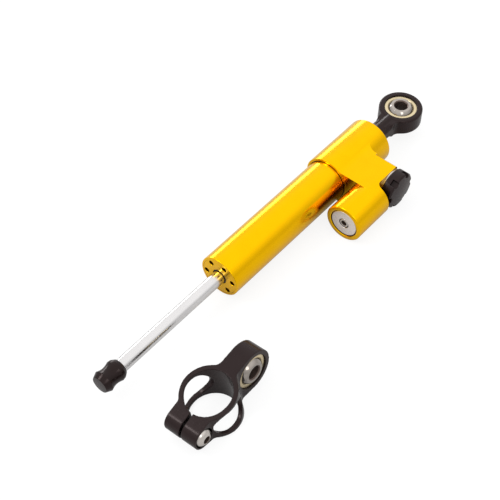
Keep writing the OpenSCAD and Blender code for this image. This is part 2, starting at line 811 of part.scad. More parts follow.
// Outline of the rod end from above: eye and neck with hollow blends
module rod_end_outline() {
    translate([eye_x, 0]) difference() {
        union() {
            circle(r = eye_r);
            translate([neck_x + 8 - eye_x, -neck_r]) square([eye_reach - 8, 2 * neck_r]);
            for (way = [0, 1]) mirror([0, way]) blend_corner(eye_r, neck_r, neck_blend, -1);
        }
        for (way = [0, 1]) mirror([0, way]) blend_round(eye_r, neck_r, neck_blend, -1);
    }
}

module rod_end_housing() {
    half = eye_thick / 2;
    color("black") lying() difference() {
        union() {
            intersection() {
                turned([[0, neck_x], [neck_r - 0.5, neck_x], [neck_r + 0.45, neck_x + 0.95],
                    [neck_r + 0.45, eye_x - race_r - 1], [0, eye_x - race_r - 1]]);
                rotate([0, 90, 0]) hex_z(neck_x - 1, eye_x - race_r, neck_d);
            }
            intersection() {
                translate([0, 0, -half]) linear_extrude(eye_thick) rod_end_outline();
                translate([eye_x, 0, 0]) rotate_extrude()
                    polygon([[0, -half], [eye_r - eye_edge, -half], [eye_r, eye_edge - half],
                        [eye_reach, eye_edge - half], [eye_reach, half - eye_edge],
                        [eye_r, half - eye_edge], [eye_r - eye_edge, half], [0, half]]);
            }
        }
        bar_x(neck_x - 1, rod_thread + 1 + fit_gap, rod_r + fit_gap);
        translate([eye_x, 0, 0]) bar_z(-eye_thick, eye_thick, race_r + fit_gap);
    }
}

// Race with its hollow ball seat, about Z
module race() {
    color("goldenrod") difference() {
        rotate_extrude() polygon([[ball_r / 2, -race_width / 2], [race_r - 0.4, -race_width / 2],
            [race_r, 0.4 - race_width / 2], [race_r, race_width / 2 - 0.4],
            [race_r - 0.4, race_width / 2], [ball_r / 2, race_width / 2]]);
        sphere(r = ball_r + run_gap);
    }
}

// Bored ball with flat ends, about Z
module bored_ball() {
    half = ball_width / 2;
    wide = ball_bore_d / 2 + ball_edge;
    color("silver") difference() {
        intersection() {
            sphere(r = ball_r);
            bar_z(-half, half, ball_r + 1);
        }
        bar_z(-half - 1, half + 1, ball_bore_d / 2);
        rotate_extrude() polygon([[0, half - ball_edge], [ball_bore_d / 2, half - ball_edge],
            [wide, half], [wide, half + 1], [0, half + 1]]);
        rotate_extrude() polygon([[0, -half - 1], [wide, -half - 1], [wide, -half],
            [ball_bore_d / 2, ball_edge - half], [0, ball_edge - half]]);
    }
}

module rod_end_race() {
    lying() translate([eye_x, 0, 0]) race();
}

module rod_end_ball() {
    lying() translate([eye_x, 0, 0]) bored_ball();
}

// Side view of the clamp
module clamp_side() {
    joined_circles(bolt_x, split_r, 0, clamp_half_height);
    joined_circles(0, clamp_half_height, clamp_eye_reach, clamp_eye_r);
}

// Clamp as seen from above, as tall as its eye: ring, split boss and eye with hollow blends
module clamp_blank(tall) {
    translate([0, 0, -tall / 2]) difference() {
        union() {
            cylinder(r = clamp_r, h = tall);
            translate([bolt_x - split_r, -split_half, 0]) cube([split_r - bolt_x, split_boss_width, tall]);
            translate([0, -clamp_eye_half, 0])
                cube([clamp_eye_reach + clamp_eye_r, clamp_eye_thick, tall]);
            for (way = [0, 1]) mirror([0, way, 0]) {
                linear_extrude(tall) blend_corner(clamp_r, split_half, split_blend, -1);
                linear_extrude(tall) blend_corner(clamp_r, clamp_eye_half, eye_blend, 1);
            }
        }
        for (way = [0, 1]) mirror([0, way, 0]) translate([0, 0, -1]) {
            linear_extrude(tall + 2) blend_round(clamp_r, split_half, split_blend, -1);
            linear_extrude(tall + 2) blend_round(clamp_r, clamp_eye_half, eye_blend, 1);
        }
    }
}

module clamp_body() {
    tall = 2 * clamp_eye_r + 2;
    window_r = window_height / 2;
    color("black") standing() difference() {
        intersection() {
            clamp_blank(tall);
            rotate([90, 0, 0]) translate([0, 0, -2 * clamp_r]) linear_extrude(4 * clamp_r) clamp_side();
        }
        bar_z(-tall, tall, clamp_bore_r);
        rotate([90, 0, 0]) translate([0, 0, -2 * clamp_r]) linear_extrude(4 * clamp_r) {
            translate([-window_stretch / 2, 0]) circle(r = window_r);
            translate([window_stretch / 2, 0]) circle(r = window_r);
            translate([-window_stretch / 2, -window_r]) square([window_stretch, window_height]);
        }
        translate([bolt_x - 2 * split_r, -split_gap / 2, -tall])
            cube([2 * split_r - bolt_x, split_gap, 2 * tall]);
        translate([bolt_x, 0, 0]) rotate([-90, 0, 0]) {
            bar_z(-split_half - 1, bolt_seat_y, bolt_head_d / 2 + free_gap);
            bar_z(-split_half, 0, bolt_r + 0.1);
            bar_z(-1, split_half + 1, bolt_r + fit_gap);
        }
        translate([clamp_eye_reach, 0, 0]) rotate([-90, 0, 0])
            bar_z(-clamp_eye_thick, clamp_eye_thick, race_r + fit_gap);
    }
}

module clamp_bolt() {
    head = bolt_seat_y - bolt_head_h;
    color("silver") standing() translate([bolt_x, 0, 0]) rotate([-90, 0, 0]) difference() {
        rotate_extrude() polygon([[0, head], [bolt_head_d * 0.27, head], [bolt_head_d * 0.38, head + 0.5],
            [bolt_head_d * 0.46, head + 1.4], [bolt_head_d / 2, bolt_seat_y - 0.6],
            [bolt_head_d / 2, bolt_seat_y - fit_gap], [bolt_r, bolt_seat_y - fit_gap],
            [bolt_r, split_half - 1], [bolt_r - 0.6, split_half - 0.4], [0, split_half - 0.4]]);
        hex_z(head - 1, head + 2, 4);
    }
}

module clamp_race() {
    standing() translate([clamp_eye_reach, 0, 0]) rotate([-90, 0, 0]) race();
}

module clamp_ball() {
    standing() translate([clamp_eye_reach, 0, 0]) rotate([-90, 0, 0]) bored_ball();
}

barrel();
front_gland();
gland_oring();
front_bush();
front_rod_seal();
front_wiper();
head_block();
barrel_oring();
rear_bush();
rear_rod_seal();
rear_wiper();
reservoir_plug();
plug_oring();
plug_clip();
fill_screw();
fill_washer();
valve_cartridge();
cartridge_oring();
index_washer();
rod();
piston();
piston_ring();
piston_clips();
rod_tip_cap();
rod_end_housing();
rod_end_race();
rod_end_ball();
knob();
adjuster_stem();
stem_oring();
detent_ball();
detent_spring();
metering_pin();
floating_piston();
floating_oring();
clamp_body();
clamp_bolt();
clamp_race();
clamp_ball();
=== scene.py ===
"""Looks of a linear steering damper that lies on a white table beside its loose barrel clamp."""

import json
import logging
import math
from collections.abc import Sequence
from dataclasses import dataclass
from enum import Enum

import bpy
from mathutils import Matrix, Vector


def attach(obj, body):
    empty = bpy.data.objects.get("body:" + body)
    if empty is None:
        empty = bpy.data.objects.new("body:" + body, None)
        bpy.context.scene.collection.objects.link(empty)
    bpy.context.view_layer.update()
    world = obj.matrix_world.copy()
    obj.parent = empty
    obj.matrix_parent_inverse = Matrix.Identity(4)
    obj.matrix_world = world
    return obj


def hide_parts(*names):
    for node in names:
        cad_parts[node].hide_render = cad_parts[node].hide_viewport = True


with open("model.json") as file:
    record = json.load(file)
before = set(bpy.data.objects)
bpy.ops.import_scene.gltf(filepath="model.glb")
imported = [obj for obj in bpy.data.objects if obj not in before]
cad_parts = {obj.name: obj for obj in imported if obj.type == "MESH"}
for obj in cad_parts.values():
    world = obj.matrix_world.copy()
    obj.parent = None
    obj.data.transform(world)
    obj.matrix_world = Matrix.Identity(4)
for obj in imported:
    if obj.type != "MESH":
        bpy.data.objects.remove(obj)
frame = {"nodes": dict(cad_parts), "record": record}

# Metres in a millimetre, and the distance in millimetres within which points are welded
MM = 0.001
WELD = 1e-4
LOG = logging.getLogger("steering_damper")

Point = tuple[float, float]
Corner = tuple[float, float, float]
Colour = tuple[float, float, float]


class Body(Enum):
    """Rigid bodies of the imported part."""

    DAMPER = "damper_body"
    ROD = "rod"
    ROD_BALL = "rod_end_ball"
    ADJUSTER = "adjuster"
    CLAMP = "clamp"
    CLAMP_BALL = "clamp_ball"


class Slot(Enum):
    """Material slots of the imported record."""

    GOLD = "gold_anodised"
    BLACK = "black_anodised"
    POLYMER = "black_polymer"
    CHROME = "hard_chrome"
    BALL = "bearing_steel"
    BRASS = "race_brass"
    ALUMINIUM = "plain_aluminium"
    ZINC = "zinc_steel"
    DARK = "dark_steel"
    RUBBER = "seal_rubber"
    PTFE = "white_ptfe"
    COPPER = "copper_washer"


class Lines(Enum):
    """Way that the tool marks of a finish run, as a stretch of the pattern along X, Y and Z."""

    NONE = (1.0, 1.0, 1.0)
    ROUND_X = (1.0, 0.02, 0.02)


class Cut(Enum):
    """Ways to join two solids."""

    ADD = "UNION"
    TAKE = "DIFFERENCE"
    KEEP = "INTERSECT"


class Shade(Enum):
    """Angles between faces up to which they shade as one, in degrees."""

    RIDGED = 14.0
    MILLED = 30.0
    TURNED = 32.0
    SOFTENED = 60.0


class Bench:
    """Modelling steps made with Blender's operators. Sizes are in millimetres until a piece is seated."""

    @staticmethod
    def clear() -> None:
        """Leave edit mode and select nothing."""
        active = bpy.context.view_layer.objects.active
        if active is not None and active.mode != "OBJECT":
            bpy.ops.object.mode_set(mode="OBJECT")
        bpy.ops.object.select_all(action="DESELECT")

    @staticmethod
    def pick(piece: bpy.types.Object) -> None:
        """Make one object the only selected and the active one."""
        Bench.clear()
        piece.select_set(True)
        bpy.context.view_layer.objects.active = piece

    @staticmethod
    def draw(name: str, points: Sequence[Sequence[float]], closed: bool) -> bpy.types.Object:
        """Draw a line by extruding one vertex from point to point, and stay in edit mode.

        Args:
            name: Name of the new object.
            points: Points in space to pass through.
            closed: Whether the line returns to its first point.

        Returns:
            The new object, with all of it selected.
        """
        Bench.clear()
        bpy.ops.mesh.primitive_plane_add(size=1.0, location=(0, 0, 0))
        piece = bpy.context.active_object
        piece.name = name
        piece.data.name = name
        bpy.ops.object.mode_set(mode="EDIT")
        bpy.ops.mesh.merge(type="CENTER")
        route = [Vector(p) for p in points]
        bpy.ops.transform.translate(value=route[0])
        for start, stop in zip(route, route[1:] + route[:1] if closed else route[1:]):
            bpy.ops.mesh.extrude_region_move(TRANSFORM_OT_translate={"value": stop - start})
        bpy.ops.mesh.select_all(action="SELECT")
        bpy.ops.mesh.remove_doubles(threshold=WELD)
        return piece

    @staticmethod
    def turn(name: str, profile: Sequence[Point], closed: bool = True, steps: int = 128) -> bpy.types.Object:
        """Turn a profile about the X axis, as on a lathe.

        Args:
            name: Name of the new object.
            profile: Points as distance along X and radius.
            closed: Whether the profile is a closed loop, as on a ring.
            steps: Number of steps in a full turn.

        Returns:
            The turned object.
        """
        piece = Bench.draw(name, [(x, r, 0.0) for x, r in profile], closed)
        bpy.ops.mesh.spin(steps=steps, angle=2 * math.pi, center=(0, 0, 0), axis=(1, 0, 0))
        bpy.ops.mesh.select_all(action="SELECT")
        bpy.ops.mesh.remove_doubles(threshold=WELD)
        bpy.ops.mesh.normals_make_consistent(inside=False)
        bpy.ops.object.mode_set(mode="OBJECT")
        return piece

    @staticmethod
    def drill(name: str, start: float, stop: float, radius: float, steps: int = 128) -> bpy.types.Object:
        """Turn a plain round cutter from one place on the X axis to another."""
        side = [(start, 0.0), (start, radius), (stop, radius), (stop, 0.0)]
        return Bench.turn(name, side, closed=False, steps=steps)

    @staticmethod
    def prism(name: str, outline: Sequence[Sequence[float]], depth: Sequence[float]) -> bpy.types.Object:
        """Fill an outline and extrude it.

        Args:
            name: Name of the new object.
            outline: Corners of the flat outline.
            depth: Way that the outline is extruded.

        Returns:
            The closed solid.
        """
        piece = Bench.draw(name, outline, True)
        bpy.ops.mesh.edge_face_add()
        bpy.ops.mesh.extrude_region_move(TRANSFORM_OT_translate={"value": Vector(depth)})
        bpy.ops.mesh.select_all(action="SELECT")
        bpy.ops.mesh.normals_make_consistent(inside=False)
        bpy.ops.object.mode_set(mode="OBJECT")
        return piece

    @staticmethod
    def place(piece: bpy.types.Object, matrix: Matrix) -> bpy.types.Object:
        """Put a piece in its place and leave that place in its mesh."""
        Bench.pick(piece)
        piece.matrix_world = matrix
        bpy.ops.object.transform_apply(location=True, rotation=True, scale=True)
        return piece

    @staticmethod
    def seat(piece: bpy.types.Object, matrix: Matrix) -> bpy.types.Object:
        """Put a finished piece in its place in the frame, which is in metres."""
        return Bench.place(piece, Matrix.Scale(MM, 4) @ matrix)

    @staticmethod
    def join(piece: bpy.types.Object, tool: bpy.types.Object, cut: Cut) -> bpy.types.Object:
        """Join a tool solid with a piece, and use the tool up."""
        Bench.pick(piece)
        change = piece.modifiers.new(cut.name.lower(), "BOOLEAN")
        change.operation = cut.value
        change.solver = "EXACT"
        change.object = tool
        bpy.ops.object.modifier_apply(modifier=change.name)
        bpy.data.objects.remove(tool, do_unlink=True)
        return piece

    @staticmethod
    def copy(piece: bpy.types.Object, name: str, matrix: Matrix) -> bpy.types.Object:
        """Copy a piece with its own mesh and put the copy in its place."""
        twin = piece.copy()
        twin.data = piece.data.copy()
        twin.name = name
        twin.data.name = name
        bpy.context.scene.collection.objects.link(twin)
        return Bench.place(twin, matrix)

    @staticmethod
    def soften(piece: bpy.types.Object, voxel: float, rounds: int) -> bpy.types.Object:
        """Remesh a solid finely and smooth it, which breaks its edges as tumbling does.

        Args:
            piece: The solid.
            voxel: Size of the new faces in millimetres.
            rounds: Rounds of smoothing.

        Returns:
            The same object.
        """
        Bench.pick(piece)
        mesh = piece.modifiers.new("fine_mesh", "REMESH")
        mesh.mode = "VOXEL"
        mesh.voxel_size = voxel
        bpy.ops.object.modifier_apply(modifier=mesh.name)
        broken = piece.modifiers.new("broken_edges", "SMOOTH")
        broken.factor = 0.5
        broken.iterations = rounds
        bpy.ops.object.modifier_apply(modifier=broken.name)
        return piece

    @staticmethod
    def bevel(piece: bpy.types.Object, width: float, angle: float) -> bpy.types.Object:
        """Break the sharp edges of a piece with a narrow bevel."""
        Bench.pick(piece)
        broken = piece.modifiers.new("broken_edges", "BEVEL")
        broken.width = width
        broken.segments = 2
        broken.limit_method = "ANGLE"
        broken.angle_limit = math.radians(angle)
        bpy.ops.object.modifier_apply(modifier=broken.name)
        return piece

    @staticmethod
    def smooth(piece: bpy.types.Object, shade: Shade = Shade.TURNED) -> bpy.types.Object:
        """Shade a piece smooth up to an angle between its faces."""
        Bench.pick(piece)
        bpy.ops.object.shade_smooth_by_angle(angle=math.radians(shade.value))
        return piece


def rounded(corners: Sequence[Corner], closed: bool, step: float = 15.0) -> list[Point]:
    """Round the corners of a flat line.

    Args:
        corners: Corners as two coordinates and a radius.
        closed: Whether the line is a loop.
        step: Largest turn of one short side on a round, in degrees.

    Returns:
        The points of the line with its rounds.
    """
    count = len(corners)
    line: list[Point] = []
    for i, (x, y, radius) in enumerate(corners):
        here = Vector((x, y))
        if radius <= 0 or (not closed and i in (0, count - 1)):
            line.append((x, y))
            continue
        back = (Vector(corners[i - 1][:2]) - here).normalized()
        ahead = (Vector(corners[(i + 1) % count][:2]) - here).normalized()
        half = math.acos(max(-1.0, min(1.0, back.dot(ahead)))) / 2
        middle = here + (back + ahead).normalized() * (radius / math.sin(half))
        start = here + back * (radius / math.tan(half)) - middle
        stop = here + ahead * (radius / math.tan(half)) - middle
        turn = start.angle_signed(stop)
        parts = max(2, math.ceil(abs(math.degrees(turn)) / step))
        for k in range(parts + 1):
            a = -turn * k / parts
            c, s = math.cos(a), math.sin(a)
            line.append((middle.x + start.x * c - start.y * s, middle.y + start.x * s + start.y * c))
    return line


def arc(middle: Point, radius: float, start: float, stop: float, parts: int) -> list[Point]:
    """Points on a round from one angle to another, in degrees."""
    return [
        (
            middle[0] + radius * math.cos(math.radians(start + (stop - start) * k / parts)),
            middle[1] + radius * math.sin(math.radians(start + (stop - start) * k / parts)),
        )
        for k in range(parts + 1)
    ]


def touch(circle_r: float, line: float, blend: float) -> float:
    """How far along a line a round stands that touches the line and a circle about the origin."""
    return math.sqrt((circle_r + blend) ** 2 - (line + blend) ** 2)


@dataclass(frozen=True)
class Layout:
    """Where the damper lies and the clamp stands, as in the part's source."""

    head_r: float = 14.8
    reservoir_r: float = 12.0
    reservoir_y: float = 28.7
    valve_x: float = 117.5
    valve_rise: float = 0.8
    eye_x: float = 172.4
    clamp_ahead: float = 65.0
    clamp_aside: float = 51.0
    clamp_eye_r: float = 13.0
    clamp_eye_reach: float = 27.0
    clamp_half_height: float = 10.6

    @property
    def lie(self) -> float:
        """Roll of the damper on its head and reservoir."""
        return math.asin((self.head_r - self.reservoir_r) / self.reservoir_y)

    @property
    def damper(self) -> Matrix:
        """Matrix of the damper's own axes."""
        return Matrix.Rotation(self.lie, 4, "X") @ Matrix.Translation((-self.eye_x, 0, 0))

    @property
    def reservoir(self) -> Matrix:
        """Matrix of the reservoir's axis."""
        return self.damper @ Matrix.Translation((0, -self.reservoir_y, 0))

    @property
    def valve(self) -> Matrix:
        """Matrix of the adjuster, with X out of the knob's face."""
        return self.damper @ Matrix.Translation((self.valve_x, 0, self.valve_rise)) @ self.sideways

    @property
    def eye(self) -> Matrix:
        """Matrix of the rod end's ball, with X along its bore."""
        return self.damper @ Matrix.Translation((self.eye_x, 0, 0)) @ self.upright

    @property
    def upright(self) -> Matrix:
        """Turn that brings X to the top."""
        return Matrix(((0, 1, 0, 0), (0, 0, 1, 0), (1, 0, 0, 0), (0, 0, 0, 1)))

    @property
    def sideways(self) -> Matrix:
        """Turn that brings X to the side where the knob is."""
        return Matrix(((0, 1, 0, 0), (-1, 0, 0, 0), (0, 0, 1, 0), (0, 0, 0, 1)))

    @property
    def clamp(self) -> Matrix:
        """Matrix of the clamp's ring."""
        lean = math.asin((self.clamp_eye_r - self.clamp_half_height) / self.clamp_eye_reach)
        height = self.clamp_eye_r - self.clamp_eye_reach * math.sin(lean) - self.head_r
        spot = Vector((-self.clamp_ahead - self.eye_x, -self.clamp_aside, height))
        return Matrix.Translation(spot) @ Matrix.Rotation(-lean, 4, "Y")

    def on_clamp(self, along: float) -> Matrix:
        """Matrix of a cross axis on the clamp, with X towards the viewer."""
        return self.clamp @ Matrix.Translation((along, 0, 0)) @ self.sideways


class NodeLibrary:
    """Shader node groups that several finishes share."""

    def __init__(self) -> None:
        """Build each group once."""
        self.mottle = self._mottle()
        self.tool_marks = self._tool_marks()
        self.edge_wear_and_painted_glint = self._edge_wear_and_painted_glint()
        # This group darkens colours in corners and recesses as painted shade.
        self.corners = self._painted_shade_group()

    @staticmethod
    def _group(name: str, inputs: Sequence[tuple[str, str, float]], outputs: Sequence[str]) -> bpy.types.NodeTree:
        """Make an empty group with its sockets.

        Args:
            name: Name of the group.
            inputs: Socket name, kind and default of each input.
            outputs: Names of the float outputs.

        Returns:
            The group's node tree, with its input and output nodes.
        """
        tree = bpy.data.node_groups.new(name, "ShaderNodeTree")
        for label, kind, default in inputs:
            socket = tree.interface.new_socket(label, in_out="INPUT", socket_type=kind)
            if kind == "NodeSocketFloat":
                socket.default_value = default
        for label in outputs:
            tree.interface.new_socket(label, in_out="OUTPUT", socket_type="NodeSocketFloat")
        tree.nodes.new("NodeGroupInput").name = "in"
        tree.nodes.new("NodeGroupOutput").name = "out"
        return tree

    @classmethod
    def _mottle(cls) -> bpy.types.NodeTree:
        """Slow and fast cloudiness of a surface, from 0 to 1."""
        tree = cls._group(
            "cloudy_mottle",
            [
                ("Vector", "NodeSocketVector", 0.0),
                ("Scale", "NodeSocketFloat", 120.0),
                ("Fine", "NodeSocketFloat", 9.0),
            ],
            ["Cloud", "Speck"],
        )
        nodes, links = tree.nodes, tree.links
        slow, fast = nodes.new("ShaderNodeTexNoise"), nodes.new("ShaderNodeTexNoise")
        slow.inputs["Detail"].default_value = 3.0
        fast.inputs["Detail"].default_value = 2.0
        faster = nodes.new("ShaderNodeMath")
        faster.operation = "MULTIPLY"
        links.new(nodes["in"].outputs["Vector"], slow.inputs["Vector"])
        links.new(nodes["in"].outputs["Vector"], fast.inputs["Vector"])
        links.new(nodes["in"].outputs["Scale"], slow.inputs["Scale"])
        links.new(nodes["in"].outputs["Scale"], faster.inputs[0])
        links.new(nodes["in"].outputs["Fine"], faster.inputs[1])
        links.new(faster.outputs[0], fast.inputs["Scale"])
        links.new(slow.outputs["Fac"], nodes["out"].inputs["Cloud"])
        links.new(fast.outputs["Fac"], nodes["out"].inputs["Speck"])
        return tree

    @classmethod
    def _tool_marks(cls) -> bpy.types.NodeTree:
        """Fine marks that a tool leaves, from a stretched vector."""
        tree = cls._group(
            "tool_marks",
            [("Vector", "NodeSocketVector", 0.0), ("Scale", "NodeSocketFloat", 2500.0)],
            ["Marks"],
        )
        nodes, links = tree.nodes, tree.links
        lines = nodes.new("ShaderNodeTexNoise")
        lines.inputs["Detail"].default_value = 4.0
        lines.inputs["Roughness"].default_value = 0.7
        links.new(nodes["in"].outputs["Vector"], lines.inputs["Vector"])
        links.new(nodes["in"].outputs["Scale"], lines.inputs["Scale"])
        links.new(lines.outputs["Fac"], nodes["out"].inputs["Marks"])
        return tree

    @classmethod
    def _edge_wear_and_painted_glint(cls) -> bpy.types.NodeTree:
        """Mask of edges, broken up by a cloud, where the colour turns lighter: partly a rubbed coat, partly a painted
        glint on the edges.
        """
        tree = cls._group(
            "edge_wear_and_painted_glint",
            [("Cloud", "NodeSocketFloat", 0.5), ("Amount", "NodeSocketFloat", 0.3)],
            ["Wear"],
        )
        nodes, links = tree.nodes, tree.links
        shape = nodes.new("ShaderNodeNewGeometry")
        edge = nodes.new("ShaderNodeMapRange")
        edge.inputs["From Min"].default_value = 0.53
        edge.inputs["From Max"].default_value = 0.62
        broken, scaled = nodes.new("ShaderNodeMath"), nodes.new("ShaderNodeMath")
        broken.operation = scaled.operation = "MULTIPLY"
        links.new(shape.outputs["Pointiness"], edge.inputs["Value"])
        links.new(edge.outputs["Result"], broken.inputs[0])
        links.new(nodes["in"].outputs["Cloud"], broken.inputs[1])
        links.new(broken.outputs[0], scaled.inputs[0])
        links.new(nodes["in"].outputs["Amount"], scaled.inputs[1])
        links.new(scaled.outputs[0], nodes["out"].inputs["Wear"])
        return tree

    @classmethod
    def _painted_shade_group(cls) -> bpy.types.NodeTree:
        """Painted shade mask from ambient occlusion: 0 in a deep corner or recess, where the colour is darkened as
        painted shade, to 1 in the open.
        """
        tree = cls._group("painted_corner_shade", [("Reach", "NodeSocketFloat", 0.02)], ["Open"])
        nodes, links = tree.nodes, tree.links
        hidden = nodes.new("ShaderNodeAmbientOcclusion")
        hidden.samples = 8
        spread = nodes.new("ShaderNodeMapRange")
        spread.inputs["From Min"].default_value = 0.1
        spread.inputs["From Max"].default_value = 0.8
        links.new(nodes["in"].outputs["Reach"], hidden.inputs["Distance"])
        links.new(hidden.outputs["AO"], spread.inputs["Value"])
        links.new(spread.outputs["Result"], nodes["out"].inputs["Open"])
        return tree


@dataclass(frozen=True)
class Finish:
    """One finish of the part: its colours, gloss, tool marks, lighter edges that are partly a rubbed coat and partly a
    painted glint, and painted shade in deep corners.
    """

    slot: Slot
    colour: Colour
    second: Colour
    # Colour of the edges: partly a rubbed coat, partly a painted glint
    worn_and_painted_glint: Colour
    metallic: float
    gloss: tuple[float, float]
    lines: Lines = Lines.NONE
    marks: float = 0.05
    cloud_scale: float = 110.0
    mark_scale: float = 2500.0
    # How far the edges take that colour, as rubbing and a painted glint
    wear: float = 0.0
    specular: float = 0.5
    sheen: Colour = (1.0, 1.0, 1.0)
    # Share of the colour that is left deep in a corner, as painted shade
    corner: Colour = (0.5, 0.5, 0.5)

    def build(self, library: NodeLibrary) -> bpy.types.Material:
        """Make the material with its nodes.

        Args:
            library: The shared node groups.

        Returns:
            The material.
        """
        material = bpy.data.materials.new(f"{self.slot.value}_finish")
        material.use_nodes = True
        nodes, links = material.node_tree.nodes, material.node_tree.links
        shader = nodes["Principled BSDF"]
        shader.inputs["Metallic"].default_value = self.metallic
        shader.inputs["Specular IOR Level"].default_value = self.specular
        shader.inputs["Specular Tint"].default_value = (*self.sheen, 1.0)
        place = nodes.new("ShaderNodeTexCoord")
        stretch = nodes.new("ShaderNodeMapping")
        stretch.inputs["Scale"].default_value = self.lines.value
        links.new(place.outputs["Object"], stretch.inputs["Vector"])
        mottle, marks, wear = (self._use(nodes, g) for g in (library.mottle, library.tool_marks, library.edge_wear_and_painted_glint))
        mottle.inputs["Scale"].default_value = self.cloud_scale
        marks.inputs["Scale"].default_value = self.mark_scale
        wear.inputs["Amount"].default_value = self.wear
        links.new(place.outputs["Object"], mottle.inputs["Vector"])
        links.new(stretch.outputs["Vector"], marks.inputs["Vector"])
        links.new(mottle.outputs["Cloud"], wear.inputs["Cloud"])
        body = self._mix(nodes, self.colour, self.second)
        links.new(mottle.outputs["Cloud"], body.inputs["Factor"])
        # Lighter edges: partly a rubbed coat, partly a painted glint.
        worn_and_painted_glint_edges = self._mix(nodes, self.colour, self.worn_and_painted_glint)
        links.new(body.outputs[2], worn_and_painted_glint_edges.inputs[6])
        links.new(wear.outputs["Wear"], worn_and_painted_glint_edges.inputs["Factor"])
        # Painted shade: the colour darkens towards corners and recesses through the ambient occlusion mask.
        corners = self._use(nodes, library.corners)
        deep = tuple(c * share for c, share in zip(self.colour, self.corner))
        shaded = self._mix(nodes, deep, self.colour)
        links.new(worn_and_painted_glint_edges.outputs[2], shaded.inputs[7])
        links.new(corners.outputs["Open"], shaded.inputs["Factor"])
        links.new(shaded.outputs[2], shader.inputs["Base Color"])
        gloss = nodes.new("ShaderNodeMapRange")
        gloss.inputs["From Min"].default_value = 0.3
        gloss.inputs["From Max"].default_value = 0.7
        gloss.inputs["To Min"].default_value, gloss.inputs["To Max"].default_value = self.gloss
        links.new(mottle.outputs["Speck"], gloss.inputs["Value"])
        links.new(gloss.outputs["Result"], shader.inputs["Roughness"])
        bump = nodes.new("ShaderNodeBump")
        bump.inputs["Strength"].default_value = self.marks
        bump.inputs["Distance"].default_value = 0.05 * MM
        links.new(marks.outputs["Marks"], bump.inputs["Height"])
        links.new(bump.outputs["Normal"], shader.inputs["Normal"])
        return material

    @staticmethod
    def _use(nodes: bpy.types.Nodes, tree: bpy.types.NodeTree) -> bpy.types.Node:
        """Place a shared group in a material."""
        node = nodes.new("ShaderNodeGroup")
        node.node_tree = tree
        return node

    @staticmethod
    def _mix(nodes: bpy.types.Nodes, first: Colour, second: Colour) -> bpy.types.Node:
        """Place a colour mix with its two colours."""
        node = nodes.new("ShaderNodeMix")
        node.data_type = "RGBA"
        node.inputs[6].default_value = (*first, 1.0)
        node.inputs[7].default_value = (*second, 1.0)
        return node


FINISHES: tuple[Finish, ...] = (
    # Gold keeps 40% and black 20% of its colour deep in a corner, as painted shade.
    Finish(
        Slot.GOLD, (1.0, 0.56, 0.002), (0.97, 0.51, 0.0015), (1.0, 0.7, 0.15), 1.0, (0.18, 0.23), Lines.ROUND_X, 0.012,
        corner=(0.4, 0.4, 0.4),
    ),
    # The black finish's lighter edges are partly a painted glint on its ridges.
    Finish(
        Slot.BLACK, (0.015, 0.009, 0.009), (0.02, 0.0125, 0.0125), (0.12, 0.11, 0.1), 0.0, (0.18, 0.28), marks=0.06,
        wear=0.6, specular=0.2, sheen=(1.0, 0.84, 0.83), corner=(0.2, 0.2, 0.2),
    ),
    # The cap's lighter edges are partly a painted glint on its ridges.
    Finish(
        Slot.POLYMER, (0.008, 0.0045, 0.0045), (0.011, 0.0065, 0.0065), (0.06, 0.05, 0.05), 0.0, (0.14, 0.22), wear=0.6,
        specular=0.24, sheen=(1.0, 0.78, 0.76),
    ),
    Finish(
        Slot.CHROME, (0.76, 0.745, 0.74), (0.7, 0.685, 0.685), (0.8, 0.8, 0.8), 1.0, (0.16, 0.2), Lines.ROUND_X, 0.02,
    ),
    Finish(
        Slot.BALL, (0.52, 0.48, 0.45), (0.3, 0.26, 0.22), (0.8, 0.8, 0.8), 1.0, (0.05, 0.1), marks=0.03,
        cloud_scale=160.0,
    ),
    Finish(Slot.BRASS, (0.77, 0.65, 0.42), (0.72, 0.6, 0.38), (0.9, 0.8, 0.6), 1.0, (0.25, 0.35), marks=0.05),
    Finish(Slot.ALUMINIUM, (0.9, 0.84, 0.81), (0.83, 0.77, 0.745), (0.9, 0.9, 0.9), 1.0, (0.25, 0.36), marks=0.06),
    Finish(Slot.ZINC, (0.66, 0.61, 0.57), (0.58, 0.54, 0.5), (0.85, 0.85, 0.85), 1.0, (0.16, 0.26), marks=0.05),
    # Dark steel; the same finish lines holes and sockets as painted shade.
    Finish(Slot.DARK, (0.15, 0.105, 0.085), (0.1, 0.07, 0.06), (0.2, 0.2, 0.2), 0.6, (0.35, 0.45), marks=0.08),
    Finish(Slot.RUBBER, (0.011, 0.0105, 0.01), (0.016, 0.015, 0.0145), (0.03, 0.03, 0.03), 0.0, (0.5, 0.65), marks=0.1),
    Finish(Slot.PTFE, (0.8, 0.79, 0.76), (0.74, 0.73, 0.7), (0.85, 0.85, 0.82), 0.0, (0.4, 0.5)),
    Finish(Slot.COPPER, (0.7, 0.33, 0.19), (0.6, 0.27, 0.15), (0.8, 0.5, 0.35), 1.0, (0.3, 0.45)),
)


